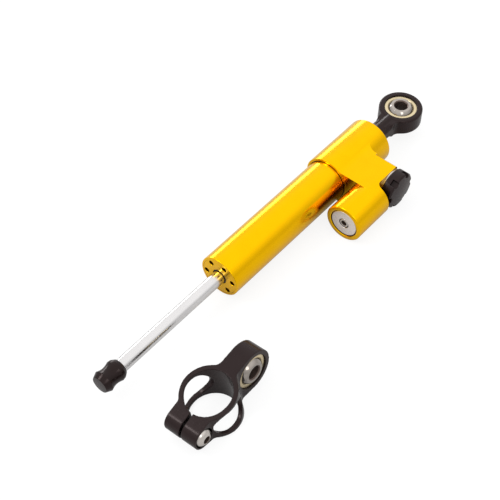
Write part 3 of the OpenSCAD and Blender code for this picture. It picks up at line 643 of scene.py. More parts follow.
class Paintshop:
    """Finishes by slot, and the way a piece gets its own."""

    def __init__(self) -> None:
        """Build every finish and give it to the nodes of its slot."""
        library = NodeLibrary()
        self.finishes = {f.slot: f.build(library) for f in FINISHES}
        for row in frame["record"]["subparts"]:
            self._coat(frame["nodes"][row["node"]], Slot(row["material_slot"]))

    def _coat(self, piece: bpy.types.Object, slot: Slot) -> None:
        """Give a piece one finish all over."""
        piece.data.materials.clear()
        piece.data.materials.append(self.finishes[slot])

    def line(self, piece: bpy.types.Object, matrix: Matrix, reach: float, low: float, high: float) -> None:
        """Give the walls of a hole about a piece's axis the dark finish, as painted shade in the hole.

        Args:
            piece: The dressed piece.
            matrix: Its place in millimetres, with the hole's axis along X.
            reach: Radius within which the hole's walls lie.
            low: Where the hole starts along its axis.
            high: Where it ends.
        """
        # Painted shade: the faces inside the hole take the dark finish.
        piece.data.materials.append(self.finishes[Slot.DARK])
        back = (Matrix.Scale(MM, 4) @ matrix).inverted()
        for face in piece.data.polygons:
            spot = back @ face.center
            if low < spot.x < high and math.hypot(spot.y, spot.z) < reach:
                face.material_index = 1

    def dress(self, piece: bpy.types.Object, slot: Slot, body: Body, node: str) -> None:
        """Finish a new piece, and let it stand for its node.

        Args:
            piece: The piece, in its place.
            slot: Its finish.
            body: The body that carries it.
            node: The node of the solid model that it stands for.
        """
        self._coat(piece, slot)
        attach(piece, body.value)
        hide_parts(node)
        LOG.info("%s: %d faces", piece.name, len(piece.data.polygons))


@dataclass
class BarrelTube:
    """Barrel and the gland in its front end."""

    layout: Layout
    barrel_r: float = 13.0
    bore_r: float = 10.5
    barrel_end: float = 111.0
    gland_r: float = 11.6
    gland_face: float = 6.0
    gland_length: float = 15.0
    mouth_r: float = 6.22
    lip_r: float = 4.75
    lip_x: float = 0.55
    slip: float = 0.02
    pin_circle_r: float = 9.35
    pin_r: float = 1.6
    pin_lead: float = 0.85
    pin_depth: float = 4.0
    pin_angle: float = 51.0
    pin_count: int = 6

    def build(self, shop: Paintshop) -> None:
        """Model and finish the barrel and its gland."""
        tube = rounded(
            [
                (0.0, self.gland_r + self.slip, 0.0),
                (0.0, self.barrel_r, 0.45),
                (self.barrel_end, self.barrel_r, 0.2),
                (self.barrel_end, self.bore_r, 0.0),
                (self.gland_face, self.bore_r, 0.0),
                (self.gland_face, self.gland_r + self.slip, 0.0),
            ],
            True,
        )
        barrel = Bench.turn("barrel_tube", tube)
        shop.dress(Bench.smooth(Bench.seat(barrel, self.layout.damper)), Slot.GOLD, Body.DAMPER, "barrel")
        shop.dress(self._gland(), Slot.GOLD, Body.DAMPER, "front_gland")

    def _gland(self) -> bpy.types.Object:
        """Model the gland with its pin holes."""
        profile = rounded(
            [
                (0.0, self.lip_r, 0.2),
                (0.0, self.gland_r, 0.25),
                (self.gland_face, self.gland_r, 0.0),
                (self.gland_face, self.bore_r - self.slip, 0.0),
                (self.gland_length, self.bore_r - self.slip, 0.0),
                (self.gland_length, self.mouth_r, 0.0),
                (self.lip_x, self.mouth_r, 0.0),
                (self.lip_x, self.lip_r, 0.0),
            ],
            True,
        )
        gland = Bench.turn("front_gland_turned", profile)
        hole = Bench.turn(
            "pin_hole",
            [
                (-1.0, 0.0),
                (-1.0, self.pin_r + self.pin_lead),
                (0.2, self.pin_r),
                (self.pin_depth, self.pin_r),
                (self.pin_depth + 0.6, 0.0),
            ],
            closed=False,
            steps=32,
        )
        for i in range(self.pin_count):
            turn = Matrix.Rotation(math.radians(self.pin_angle + i * 360 / self.pin_count), 4, "X")
            spot = turn @ Matrix.Translation((0, self.pin_circle_r, 0))
            Bench.join(gland, Bench.copy(hole, f"pin_hole_{i}", spot), Cut.TAKE)
        bpy.data.objects.remove(hole, do_unlink=True)
        return Bench.smooth(Bench.seat(gland, self.layout.damper))


# Waist of the cap, as distance behind its tip and radius
CAP_WAIST: tuple[Point, ...] = ((5.2, 5.8), (6.2, 5.6), (7.3, 5.52), (8.4, 5.58), (9.5, 5.76), (10.5, 6.02))


@dataclass
class SlidingRod:
    """Rod with the cap on its front end."""

    layout: Layout
    rod_r: float = 4.0
    rod_start: float = -91.0
    rod_stop: float = 157.5
    cap_tip: float = -94.0
    cap_back: float = -78.8
    cap_bore: float = 4.02
    cap_floor: float = 3.0

    def build(self, shop: Paintshop) -> None:
        """Model and finish the rod and its cap."""
        profile = rounded(
            [
                (self.rod_start, 0.0, 0.0),
                (self.rod_start, self.rod_r, 0.4),
                (self.rod_stop, self.rod_r, 0.4),
                (self.rod_stop, 0.0, 0.0),
            ],
            False,
        )
        rod = Bench.turn("chromed_rod", profile, closed=False)
        shop.dress(Bench.smooth(Bench.seat(rod, self.layout.damper)), Slot.CHROME, Body.ROD, "rod")
        cap = Bench.seat(Bench.turn("tip_cap", self._cap_profile()), self.layout.damper)
        shop.dress(Bench.smooth(cap, Shade.RIDGED), Slot.POLYMER, Body.ROD, "rod_tip_cap")

    def _cap_profile(self) -> list[Point]:
        """Outline of the cap: tip, sharp ridge, waist and round collar."""
        tip, back = self.cap_tip, self.cap_back
        outside = rounded([(tip, 0.0, 0.0), (tip, 5.0, 0.35), (tip + 3.3, 6.45, 0.12), (tip + 4.2, 6.12, 0.0)], False)
        waist = [(tip + x, r) for x, r in CAP_WAIST]
        collar = rounded(
            [
                (tip + 10.9, 6.14, 0.0),
                (tip + 11.5, 6.34, 0.12),
                (tip + 13.2, 6.12, 0.15),
                (back, 4.9, 0.2),
                (back, self.cap_bore, 0.0),
            ],
            False,
        )
        floor = tip + self.cap_floor
        return outside + waist + collar + [(floor, self.cap_bore), (floor, 0.0)]


@dataclass
class HeadBlock:
    """Machined head: collar, bridge and reservoir in one piece."""

    layout: Layout
    head_x: float = 97.0
    head_end: float = 140.0
    collar_edge: float = 1.0
    overhang: float = 1.0
    barrel_r: float = 13.02
    ring_r: float = 13.94
    lip_r: float = 13.35
    lip_x: float = 0.27
    ring_width: float = 1.5
    mouth_r: float = 6.22
    mouth_depth: float = 7.6
    bush_step: float = 1.4
    bush_depth: float = 15.0
    gallery_r: float = 8.5
    socket_end: float = 111.0
    reservoir_x: float = 75.8
    reservoir_bore: float = 9.2
    reservoir_end: float = 100.0
    bore_flare: float = 1.3
    bore_lead: float = 0.3
    reservoir_edge: float = 0.9
    block_end: float = 124.2
    end_chamfer: float = 1.6
    blend: float = 8.0
    rear_blend: float = 9.5
    rear_start: float = 5.92
    bite: float = 0.05
    pocket_x: float = 103.9
    floor_y: float = -31.0
    pocket_corner: float = 3.0
    room_gap: float = 0.4
    room_start: float = 90.0
    room_stop: float = 150.0
    tool_half: float = 30.0
    tool_side: float = 60.0
    tool_end: float = 160.0

    def build(self, shop: Paintshop) -> None:
        """Model and finish the head block."""
        block = self._side()
        for tool in (
            self._behind(), *self._wedges(), self._pocket(), self._collar_room(), self._beside(),
            self._reservoir_bore(), self._mouth(),
        ):
            Bench.join(block, tool, Cut.TAKE)
        Bench.join(block, self._collar(), Cut.ADD)
        Bench.seat(block, self.layout.damper)
        shop.dress(Bench.smooth(block, Shade.MILLED), Slot.GOLD, Body.DAMPER, "head_block")

    def _collar(self) -> bpy.types.Object:
        """Turn the collar that holds the barrel, with its seat for barrel, oil and rod."""
        r, x, end = self.layout.head_r, self.head_x, self.head_end
        profile = rounded(
            [
                (x, self.lip_r, 0.0),
                (x, r, 0.35),
                (end + self.overhang, r, self.collar_edge),
                (end + self.overhang, self.mouth_r, 0.35),
                (end - self.mouth_depth, self.mouth_r, 0.0),
                (end - self.mouth_depth, self.mouth_r - self.bush_step, 0.0),
                (end - self.bush_depth, self.mouth_r - self.bush_step, 0.0),
                (end - self.bush_depth, self.gallery_r, 0.0),
                (self.socket_end, self.gallery_r, 0.0),
                (self.socket_end, self.barrel_r, 0.0),
                (x + self.ring_width, self.barrel_r, 0.0),
                (x + self.ring_width, self.ring_r, 0.0),
                (x + self.lip_x, self.ring_r, 0.0),
                (x + self.lip_x, self.lip_r, 0.0),
            ],
            True,
        )
        return Bench.turn("collar", profile)

    def _collar_room(self) -> bpy.types.Object:
        """Turn the cutter that makes room for the collar in the side block."""
        r = self.layout.head_r - self.room_gap
        return Bench.drill("collar_room", self.room_start, self.room_stop, r, steps=100)

    def _side(self) -> bpy.types.Object:
        """Model bridge and reservoir in one length."""
        r, y, head_r = self.layout.reservoir_r, self.layout.reservoir_y, self.layout.head_r - self.bite
        blend_y = touch(head_r, r, self.blend)
        stop = math.degrees(math.atan2(-(r + self.blend), blend_y))
        hollow = arc((-blend_y, r + self.blend), self.blend, -90, stop, 8)
        top = [*arc((-y, 0.0), r, 180, 90, 32), *hollow, (0.0, hollow[-1][1] - 1.0)]
        outline = top + [(a, -b) for a, b in reversed(top[1:])]
        length = self.block_end + self.rear_blend - self.reservoir_x
        return Bench.prism("head_block_machined", [(self.reservoir_x, a, b) for a, b in outline], (length, 0, 0))

    def _behind(self) -> bpy.types.Object:
        """Model the cutter that leaves a hollow curve between the bridge's back and the collar."""
        x, b, y = self.block_end, self.rear_blend, -self.rear_start
        curve = arc((x + b, y - b), b, 180, 92, 16)
        back = x + b + 5.0
        outline = [(x, -self.tool_side), *curve, (back, curve[-1][1]), (back, -self.tool_side)]
        return self._upright_tool("behind", outline)

    def _upright_tool(self, name: str, outline: Sequence[Point]) -> bpy.types.Object:
        """Model a cutter that stands through the whole head, from its outline as seen from above."""
        return Bench.prism(name, [(a, b, -self.tool_half) for a, b in outline], (0, 0, 2 * self.tool_half))

    def _wedges(self) -> list[bpy.types.Object]:
        """Model the two cutters that chamfer the bridge's back edge above and below."""
        x, top, c, over = self.block_end, self.layout.reservoir_r, self.end_chamfer, 0.4
        start, depth = -(self.rear_start + self.rear_blend + 0.7), -50.0
        corners = ((x - c - over, top + over), (x + over, top + over), (x + over, top - c - over))
        return [Bench.prism("wedge", [(a, start, sign * b) for a, b in corners], (0, depth, 0)) for sign in (1, -1)]

    def _beside(self) -> bpy.types.Object:
        """Model the cutter that frees the front of the reservoir from the barrel's side."""
        reach, edge = self.tool_half, 0.2 - self.layout.reservoir_y
        front = arc((-self.layout.reservoir_y, 0.0), self.layout.reservoir_r, 88, -88, 62)
        outline = [*front, (edge, -reach), (reach, -reach), (reach, reach), (edge, reach)]
        start = self.reservoir_x - 1.0
        return Bench.prism("beside", [(start, a, b) for a, b in outline], (self.head_x + self.bite - start, 0, 0))

    def _mouth(self) -> bpy.types.Object:
        """Turn the cutter that rounds the reservoir's mouth."""
        x, r, edge = self.reservoir_x, self.layout.reservoir_r, self.reservoir_edge
        round_edge = arc((x + edge, r - edge), edge + 0.03, 190, 80, 10)
        profile = [*round_edge, (x + edge, r + 1.0), (x - 1.0, r + 1.0), (x - 1.0, round_edge[0][1])]
        mouth = Bench.turn("mouth", profile)
        return Bench.place(mouth, Matrix.Translation((0, -self.layout.reservoir_y, 0)))

    def _pocket(self) -> bpy.types.Object:
        """Model the cutter for the knob's pocket."""
        corner = rounded(
            [
                (self.pocket_x, -self.tool_side, 0.0),
                (self.pocket_x, self.floor_y, self.pocket_corner),
                (self.tool_end, self.floor_y, 0.0),
                (self.tool_end, -self.tool_side, 0.0),
            ],
            True,
        )
        return self._upright_tool("pocket", corner)

    def _reservoir_bore(self) -> bpy.types.Object:
        """Turn the cutter for the reservoir."""
        x, end, r = self.reservoir_x, self.reservoir_end, self.reservoir_bore
        profile = [(x - 1, 0.0), (x - 1, r + self.bore_flare), (x + self.bore_lead, r), (end, r), (end, 0.0)]
        oil = Bench.turn("reservoir_bore", profile, closed=False)
        return Bench.place(oil, Matrix.Translation((0, -self.layout.reservoir_y, 0)))


@dataclass
class ReservoirPlug:
    """Plug in the reservoir's mouth with its fill screw."""

    layout: Layout
    face_x: float = 76.2
    face_r: float = 8.7
    shoulder_x: float = 78.2
    body_r: float = 9.18
    end_x: float = 84.0
    seat_r: float = 3.3
    seat_x: float = 79.0
    screw_r: float = 2.9
    screw_x: float = 76.4
    thread_r: float = 2.0
    thread_short: float = 0.5
    washer: float = 0.4
    slip: float = 0.02
    hex_flats: float = 3.3
    hex_depth: float = 1.6
    hex_reach: float = 1.97

    def build(self, shop: Paintshop) -> None:
        """Model and finish the plug and its screw."""
        profile = rounded(
            [
                (self.seat_x, self.thread_r + self.slip, 0.0),
                (self.seat_x, self.seat_r, 0.0),
                (self.face_x, self.seat_r, 0.25),
                (self.face_x, self.face_r, 0.45),
                (self.shoulder_x, self.face_r, 0.0),
                (self.shoulder_x, self.body_r, 0.0),
                (self.end_x, self.body_r, 0.3),
                (self.end_x, self.thread_r + self.slip, 0.0),
            ],
            True,
        )
        plug = Bench.turn("reservoir_plug_turned", profile)
        Bench.seat(plug, self.layout.reservoir)
        shop.dress(Bench.smooth(plug), Slot.ALUMINIUM, Body.DAMPER, "reservoir_plug")
        under, end = self.seat_x - self.washer, self.end_x - self.thread_short
        screw = Bench.turn(
            "fill_screw_socket",
            rounded(
                [
                    (self.screw_x, 0.0, 0.0),
                    (self.screw_x, self.screw_r, 0.4),
                    (under, self.screw_r, 0.0),
                    (under, self.thread_r, 0.0),
                    (end, self.thread_r, 0.3),
                    (end, 0.0, 0.0),
                ],
                False,
            ),
            closed=False,
            steps=64,
        )
        Bench.join(screw, hex_socket(self.screw_x, self.hex_flats, self.hex_depth), Cut.TAKE)
        Bench.seat(screw, self.layout.reservoir)
        shop.dress(Bench.smooth(screw), Slot.ZINC, Body.DAMPER, "fill_screw")
        deep = self.screw_x + self.hex_depth + 0.6
        # The screw's socket walls get painted shade.
        shop.line(screw, self.layout.reservoir, self.hex_reach, self.screw_x + 0.05, deep)


def hex_socket(face: float, flats: float, depth: float) -> bpy.types.Object:
    """Model the cutter of a hexagon socket with a drilled end.

    Args:
        face: Where the socket's mouth is, along X.
        flats: Size across the flats.
        depth: Depth of the socket along X.

    Returns:
        The cutter.
    """
    steps, lead, tip, mouth = 48, 0.25, 0.7, face - 1.0
    r, drill_r = flats / math.sqrt(3), flats * 0.44
    corners = [(mouth, a, b) for a, b in arc((0.0, 0.0), r, 0, 300, 5)]
    tool = Bench.prism("hex_socket", corners, (depth + 1.0, 0, 0))
    cone = [(mouth, 0.0), (mouth, r + 1.0), (face + lead, r - lead), (face + lead, 0.0)]
    Bench.join(tool, Bench.turn("socket_lead", cone, False, steps), Cut.ADD)
    drill = [(face, 0.0), (face, drill_r), (face + depth, drill_r), (face + depth + tip, 0.0)]
    return Bench.join(tool, Bench.turn("socket_drill", drill, False, steps), Cut.ADD)


@dataclass
class AdjusterKnob:
    """Knob that sets the damping."""

    layout: Layout
    rear: float = 32.3
    knob_r: float = 11.5
    rim: float = 7.1
    dome: float = 0.8
    edge: float = 0.9
    stem_r: float = 2.02
    stem_depth: float = 6.0
    crown_parts: int = 8
    bevel_width: float = 0.22
    bevel_angle: float = 40.0
    notch_count: int = 6
    notch_width: float = 4.0
    notch_depth: float = 2.3
    notch_length: float = 3.8

    def build(self, shop: Paintshop) -> None:
        """Model and finish the knob."""
        front = self.rear + self.rim
        face_r = self.knob_r - self.edge
        dome_r = (face_r**2 + self.dome**2) / (2 * self.dome)
        steps = [face_r * k / self.crown_parts for k in range(self.crown_parts + 1)]
        crown = [(front + self.dome - dome_r + math.sqrt(dome_r**2 - r**2), r) for r in steps]
        rim = rounded(
            [
                (crown[-1][0], crown[-1][1], 0.0),
                (front - self.edge, self.knob_r, 0.35),
                (self.rear, self.knob_r, 0.5),
                (self.rear, self.stem_r, 0.0),
                (self.rear + self.stem_depth, self.stem_r, 0.0),
                (self.rear + self.stem_depth, 0.0, 0.0),
            ],
            False,
        )
        knob = Bench.turn("adjuster_knob", crown + rim[1:], closed=False)
        notch = self._notch(front)
        for i in range(self.notch_count):
            turn = Matrix.Rotation(2 * math.pi * i / self.notch_count, 4, "X")
            Bench.join(knob, Bench.copy(notch, f"notch_{i}", turn), Cut.TAKE)
        bpy.data.objects.remove(notch, do_unlink=True)
        Bench.bevel(knob, self.bevel_width, self.bevel_angle)
        Bench.seat(knob, self.layout.valve)
        shop.dress(Bench.smooth(knob), Slot.BLACK, Body.ADJUSTER, "knob")

    def _notch(self, front: float) -> bpy.types.Object:
        """Model the cutter of one grip notch."""
        half, floor = self.notch_width / 2, self.knob_r - self.notch_depth
        outline = rounded(
            [(-half, floor, 0.5), (half, floor, 0.5), (half, self.knob_r + 2, 0.0), (-half, self.knob_r + 2, 0.0)],
            True,
        )
        corners = [(front - self.notch_length, b, a) for a, b in outline]
        return Bench.prism("notch", corners, (self.notch_length + 3, 0, 0))


@dataclass
class BallJoints:
    """Race and bored ball, modelled once for the rod end and copied to the clamp."""

    layout: Layout
    race_r: float = 10.2
    race_half: float = 4.7
    race_edge: float = 0.4
    race_lead: float = 0.3
    ball_r: float = 9.0
    seat_gap: float = 0.05
    ball_half: float = 6.5
    bore_r: float = 4.0
    bore_edge: float = 0.6
    flat_edge: float = 0.15

    def build(self, shop: Paintshop) -> None:
        """Model and finish both races and both balls."""
        race, ball = self._race(), self._ball()
        at_rod, at_clamp = self.layout.eye, self.layout.on_clamp(self.layout.clamp_eye_reach)
        for source, name, matrix, slot, body, node in (
            (race, "rod_end_race_turned", at_rod, Slot.BRASS, Body.ROD, "rod_end_race"),
            (race, "clamp_race_turned", at_clamp, Slot.BRASS, Body.CLAMP, "clamp_race"),
            (ball, "rod_end_ball_ground", at_rod, Slot.BALL, Body.ROD_BALL, "rod_end_ball"),
            (ball, "clamp_ball_ground", at_clamp, Slot.BALL, Body.CLAMP_BALL, "clamp_ball"),
        ):
            piece = Bench.smooth(Bench.copy(source, name, Matrix.Scale(MM, 4) @ matrix))
            shop.dress(piece, slot, body, node)
            if source is ball:
                # The ball's bore gets painted shade.
                shop.line(piece, matrix, self.bore_r + self.bore_edge, -self.ball_half, self.ball_half)
        for source in (race, ball):
            bpy.data.objects.remove(source, do_unlink=True)

    def _race(self) -> bpy.types.Object:
        """Turn the race with its hollow seat."""
        seat = self.ball_r + self.seat_gap
        reach = math.degrees(math.asin((self.race_half - self.race_lead) / seat))
        hollow = arc((0.0, 0.0), seat, 90 - reach, 90 + reach, 20)
        outside = rounded(
            [
                (hollow[-1][0], hollow[-1][1], 0.0),
                (-self.race_half, hollow[-1][1] + self.race_lead, 0.0),
                (-self.race_half, self.race_r, self.race_edge),
                (self.race_half, self.race_r, self.race_edge),
                (self.race_half, hollow[0][1] + self.race_lead, 0.0),
                (hollow[0][0], hollow[0][1], 0.0),
            ],
            False,
        )
        return Bench.turn("race", hollow + outside[1:-1])

    def _ball(self) -> bpy.types.Object:
        """Turn the ball with its flats and bore."""
        flat_r = math.sqrt(self.ball_r**2 - self.ball_half**2)
        reach = math.degrees(math.asin(self.ball_half / self.ball_r))
        outside = arc((0.0, 0.0), self.ball_r, 90 - reach, 90 + reach, 28)
        bore = [
            (-self.ball_half, flat_r - self.flat_edge),
            (-self.ball_half, self.bore_r + self.bore_edge),
            (self.bore_edge - self.ball_half, self.bore_r),
            (self.ball_half - self.bore_edge, self.bore_r),
            (self.ball_half, self.bore_r + self.bore_edge),
            (self.ball_half, flat_r - self.flat_edge),
        ]
        return Bench.turn("ball", outside + bore, steps=96)


@dataclass
class RodEnd:
    """Black housing of the rod end."""

    layout: Layout
    neck_x: float = 141.5
    neck_r: float = 5.8
    neck_edge: float = 0.6
    eye_r: float = 13.7
    half: float = 5.6
    edge: float = 1.3
    blend: float = 5.0
    bite: float = 0.3
    seat_r: float = 10.22
    seat_edge: float = 0.3
    drill_half: float = 9.0
    rod_r: float = 4.02
    thread: float = 16.0
    web_start: float = 9.0
    waist_gap: float = 0.5
    waist_length: float = 13.0
    waist_rise: float = 8.0
    waist_r: float = 22.0
    neck_round: float = 0.45
    voxel: float = 0.25
    rounds: int = 5

    def build(self, shop: Paintshop) -> None:
        """Model and finish the housing."""
        half, r, at_eye = self.half, self.eye_r, Matrix.Translation((self.layout.eye_x, 0, 0)) @ self.layout.upright
        ring = rounded(
            [
                (-half, self.seat_r, self.seat_edge),
                (-half, r, self.edge),
                (half, r, self.edge),
                (half, self.seat_r, self.seat_edge),
            ],
            True,
        )
        eye = Bench.turn("rod_end_forged", ring)
        Bench.place(eye, at_eye)
        flare = self._flare()
        Bench.join(flare, self._waist(), Cut.KEEP)
        Bench.join(flare, self._neck(), Cut.ADD)
        bore = Bench.drill("bearing_seat", -self.drill_half, self.drill_half, self.seat_r)
        Bench.join(flare, Bench.place(bore, at_eye), Cut.TAKE)
        Bench.join(eye, flare, Cut.ADD)
        start, stop = self.neck_x - 1, self.neck_x + self.thread
        rod_seat = [(start, 0.0), (start, self.rod_r), (stop, self.rod_r), (stop + 1.0, 0.0)]
        Bench.join(eye, Bench.turn("rod_seat", rod_seat, closed=False), Cut.TAKE)
        Bench.soften(eye, self.voxel, self.rounds)
        Bench.seat(eye, self.layout.damper)
        shop.dress(Bench.smooth(eye, Shade.SOFTENED), Slot.BLACK, Body.ROD, "rod_end_housing")

    def _flare(self) -> bpy.types.Object:
        """Model the flat web that joins the neck to the eye in two hollow curves."""
        x, r, b, line = self.layout.eye_x, self.eye_r - self.bite, self.blend, self.neck_r
        start = x - touch(r, line, b)
        stop = math.degrees(math.atan2(-(line + b), x - start))
        side = [(self.neck_x + self.web_start, line), *arc((start, line + b), b, -90, stop, 8)]
        outline = side + [(a, -c) for a, c in reversed(side)]
        low = self.bite - self.half
        return Bench.prism("flare", [(a, c, low) for a, c in outline], (0, 0, -2 * low))

    def _waist(self) -> bpy.types.Object:
        """Turn the form that takes the web's corners off next to the neck."""
        x, r, end = self.neck_x, self.neck_r + self.waist_gap, self.layout.eye_x
        slope = [(x + self.waist_length, r), (end - self.waist_rise, self.eye_r), (end, self.waist_r)]
        profile = [(x, 0.0), (x, r), *slope, (end, 0.0)]
        return Bench.turn("waist", profile, closed=False)

    def _neck(self) -> bpy.types.Object:
        """Model the neck with its six flats for a spanner."""
        stop = self.layout.eye_x - self.seat_r - 1.0
        corner_r = self.neck_r / math.cos(math.pi / 6)
        ring = [(self.neck_x, y, z) for y, z in arc((0.0, 0.0), corner_r, 30, 330, 5)]
        neck = Bench.prism("neck", ring, (stop - self.neck_x, 0, 0))
        x, round_r, edge, over = self.neck_x, self.neck_r + self.neck_round, self.neck_edge, 0.5
        chamfer = [(x - over, 0.0), (x - over, round_r - edge - over), (x + edge, round_r)]
        profile = [*chamfer, (stop + 1.0, round_r), (stop + 1.0, 0.0)]
        return Bench.join(neck, Bench.turn("neck_round", profile, closed=False), Cut.KEEP)


# Dome of the button head, as depth below its top and radius
BUTTON_DOME: tuple[Point, ...] = (
    (0.0, 0.0), (0.0, 2.55), (0.25, 3.1), (0.75, 3.85), (1.45, 4.6), (2.3, 5.15), (3.1, 5.42),
)


@dataclass
class BarrelClamp:
    """Split clamp with its windows, eye boss and bolt."""

    layout: Layout
    bore_r: float = 13.02
    ring_r: float = 15.62
    eye_half: float = 5.6
    split_r: float = 6.8
    split_half: float = 10.7
    split_gap: float = 1.6
    split_start: float = -40.0
    split_stop: float = -5.0
    bolt_x: float = -17.52
    bolt_r: float = 3.0
    bolt_slip: float = 0.05
    head_r: float = 5.5
    head_gap: float = 0.3
    head_h: float = 4.1
    head_seat: float = 2.4
    hex_flats: float = 4.0
    hex_depth: float = 2.0
    hex_reach: float = 2.4
    window_r: float = 8.3
    window_stretch: float = 5.0
    split_blend: float = 3.5
    eye_blend: float = 5.0
    seat_r: float = 10.22
    tool_half: float = 20.0
    voxel: float = 0.28
    rounds: int = 5

    def build(self, shop: Paintshop) -> None:
        """Model and finish the clamp and its bolt."""
        body = self._blank()
        for tool in self._cutters():
            Bench.join(body, tool, Cut.TAKE)
        Bench.soften(body, self.voxel, self.rounds)
        Bench.seat(body, self.layout.clamp)
        shop.dress(Bench.smooth(body, Shade.SOFTENED), Slot.BLACK, Body.CLAMP, "clamp_body")
        bolt, top = self._bolt(), self.split_half - self.head_seat + self.head_h
        shop.dress(bolt, Slot.ZINC, Body.CLAMP, "clamp_bolt")
        deep = top - self.hex_depth - 0.3
        # The bolt's socket walls get painted shade.
        shop.line(bolt, self.layout.on_clamp(self.bolt_x), self.hex_reach, deep, top - 0.05)

    def _half_top(self) -> list[Point]:
        """One half of the clamp as seen from above, from the split end to the eye's end."""
        r, reach = self.ring_r, self.layout.clamp_eye_reach + self.layout.clamp_eye_r
        b, line = self.split_blend, self.split_half
        x = touch(r, line, b)
        stop = math.degrees(math.atan2(-(line + b), x))
        split = arc((-x, line + b), b, -90, stop, 8)
        start = math.degrees(math.atan2(line + b, -x))
        b, line = self.eye_blend, self.eye_half
        x = touch(r, line, b)
        finish = math.degrees(math.atan2(line + b, x))
        eye = arc((x, line + b), b, 180 + finish, 270, 8)
        ring = arc((0.0, 0.0), r, start, finish, 40)
        return [(self.bolt_x - self.split_r, self.split_half), *split, *ring[1:-1], *eye, (reach, self.eye_half)]

    def _side(self) -> list[Point]:
        """The clamp as seen from the side: split boss, ring and eye joined by tangents."""
        circles = ((self.bolt_x, self.split_r), (0.0, self.layout.clamp_half_height),
                   (self.layout.clamp_eye_reach, self.layout.clamp_eye_r))
        turns = [
            math.degrees(math.acos((r1 - r2) / (x2 - x1))) for (x1, r1), (x2, r2) in zip(circles, circles[1:])
        ]
        top = arc((circles[0][0], 0.0), circles[0][1], 180, turns[0], 16)
        top += arc((circles[1][0], 0.0), circles[1][1], turns[0], turns[1], 6)
        top += arc((circles[2][0], 0.0), circles[2][1], turns[1], 0, 24)
        return top + [(a, -b) for a, b in reversed(top[1:-1])]

    def _blank(self) -> bpy.types.Object:
        """Model the clamp without its holes."""
        half = self._half_top()
        top = half + [(a, -b) for a, b in reversed(half)]
        reach = self.tool_half
        blank = Bench.prism("clamp_body_machined", [(a, b, -reach) for a, b in top], (0, 0, 2 * reach))
        side = Bench.prism("clamp_side", [(a, -reach, b) for a, b in self._side()], (0, 2 * reach, 0))
        return Bench.join(blank, side, Cut.KEEP)

    def _cutters(self) -> list[bpy.types.Object]:
        """Model the cutters for bore, windows, split, bolt and bearing."""
        reach, across = self.tool_half, self.layout.sideways
        bore = Bench.drill("barrel_bore", -reach, reach, self.bore_r)
        Bench.place(bore, Matrix.Rotation(math.pi / 2, 4, "Y"))
        s, w = self.window_stretch / 2, self.window_r
        stadium = arc((s, 0.0), w, -90, 90, 24) + arc((-s, 0.0), w, 90, 270, 24)
        window = Bench.prism("window", [(a, -reach, b) for a, b in stadium], (0, 2 * reach, 0))
        gap, start, stop = self.split_gap / 2, self.split_start, self.split_stop
        slot = ((start, -gap), (stop, -gap), (stop, gap), (start, gap))
        split = Bench.prism("split", [(a, b, -reach) for a, b in slot], (0, 0, 2 * reach))
        seat = self.split_half - self.head_seat
        hole_r, head_r = self.bolt_r + self.bolt_slip, self.head_r + self.head_gap
        hole = [(-reach, 0.0), (-reach, hole_r), (seat, hole_r), (seat, head_r), (reach, head_r), (reach, 0.0)]
        bolt = Bench.turn("bolt_hole", hole, closed=False)
        Bench.place(bolt, Matrix.Translation((self.bolt_x, 0, 0)) @ across)
        bearing = Bench.drill("bearing_bore", -reach, reach, self.seat_r)
        Bench.place(bearing, Matrix.Translation((self.layout.clamp_eye_reach, 0, 0)) @ across)
        return [bore, window, split, bolt, bearing]

    def _bolt(self) -> bpy.types.Object:
        """Model the button-head bolt with its hexagon socket."""
        seat = self.split_half - self.head_seat
        top = seat + self.head_h
        under, end = seat + 0.02, 0.4 - self.split_half
        dome = [(top - depth, r) for depth, r in BUTTON_DOME]
        shank = [
            (seat + 0.35, self.head_r),
            (under, self.head_r - 0.15),
            (under, self.bolt_r),
            (end + 0.6, self.bolt_r),
            (end, self.bolt_r - 0.6),
            (end, 0.0),
        ]
        bolt = Bench.turn("clamp_bolt_button", dome + shank, closed=False, steps=96)
        socket = hex_socket(0.0, self.hex_flats, self.hex_depth)
        Bench.place(socket, Matrix.Translation((top, 0, 0)) @ Matrix.Rotation(math.pi, 4, "Z"))
        Bench.join(bolt, socket, Cut.TAKE)
        return Bench.smooth(Bench.seat(bolt, self.layout.on_clamp(self.bolt_x)))


@dataclass(frozen=True)
class SoftBox:
    """One soft lamp: where it hangs, its size in metres and how bright its face is."""

    name: str
    spot: Corner
    width: float
    height: float
    level: float


SOFT_BOXES: tuple[SoftBox, ...] = (
    SoftBox("key", (-0.75, 0.55, 1.0), 0.32, 0.32, 8.0),
    SoftBox("rim", (0.63, 1.25, 0.36), 1.4, 0.3, 5.0),
    SoftBox("fill", (-0.6, -0.8, 0.7), 0.4, 0.4, 2.0),
)


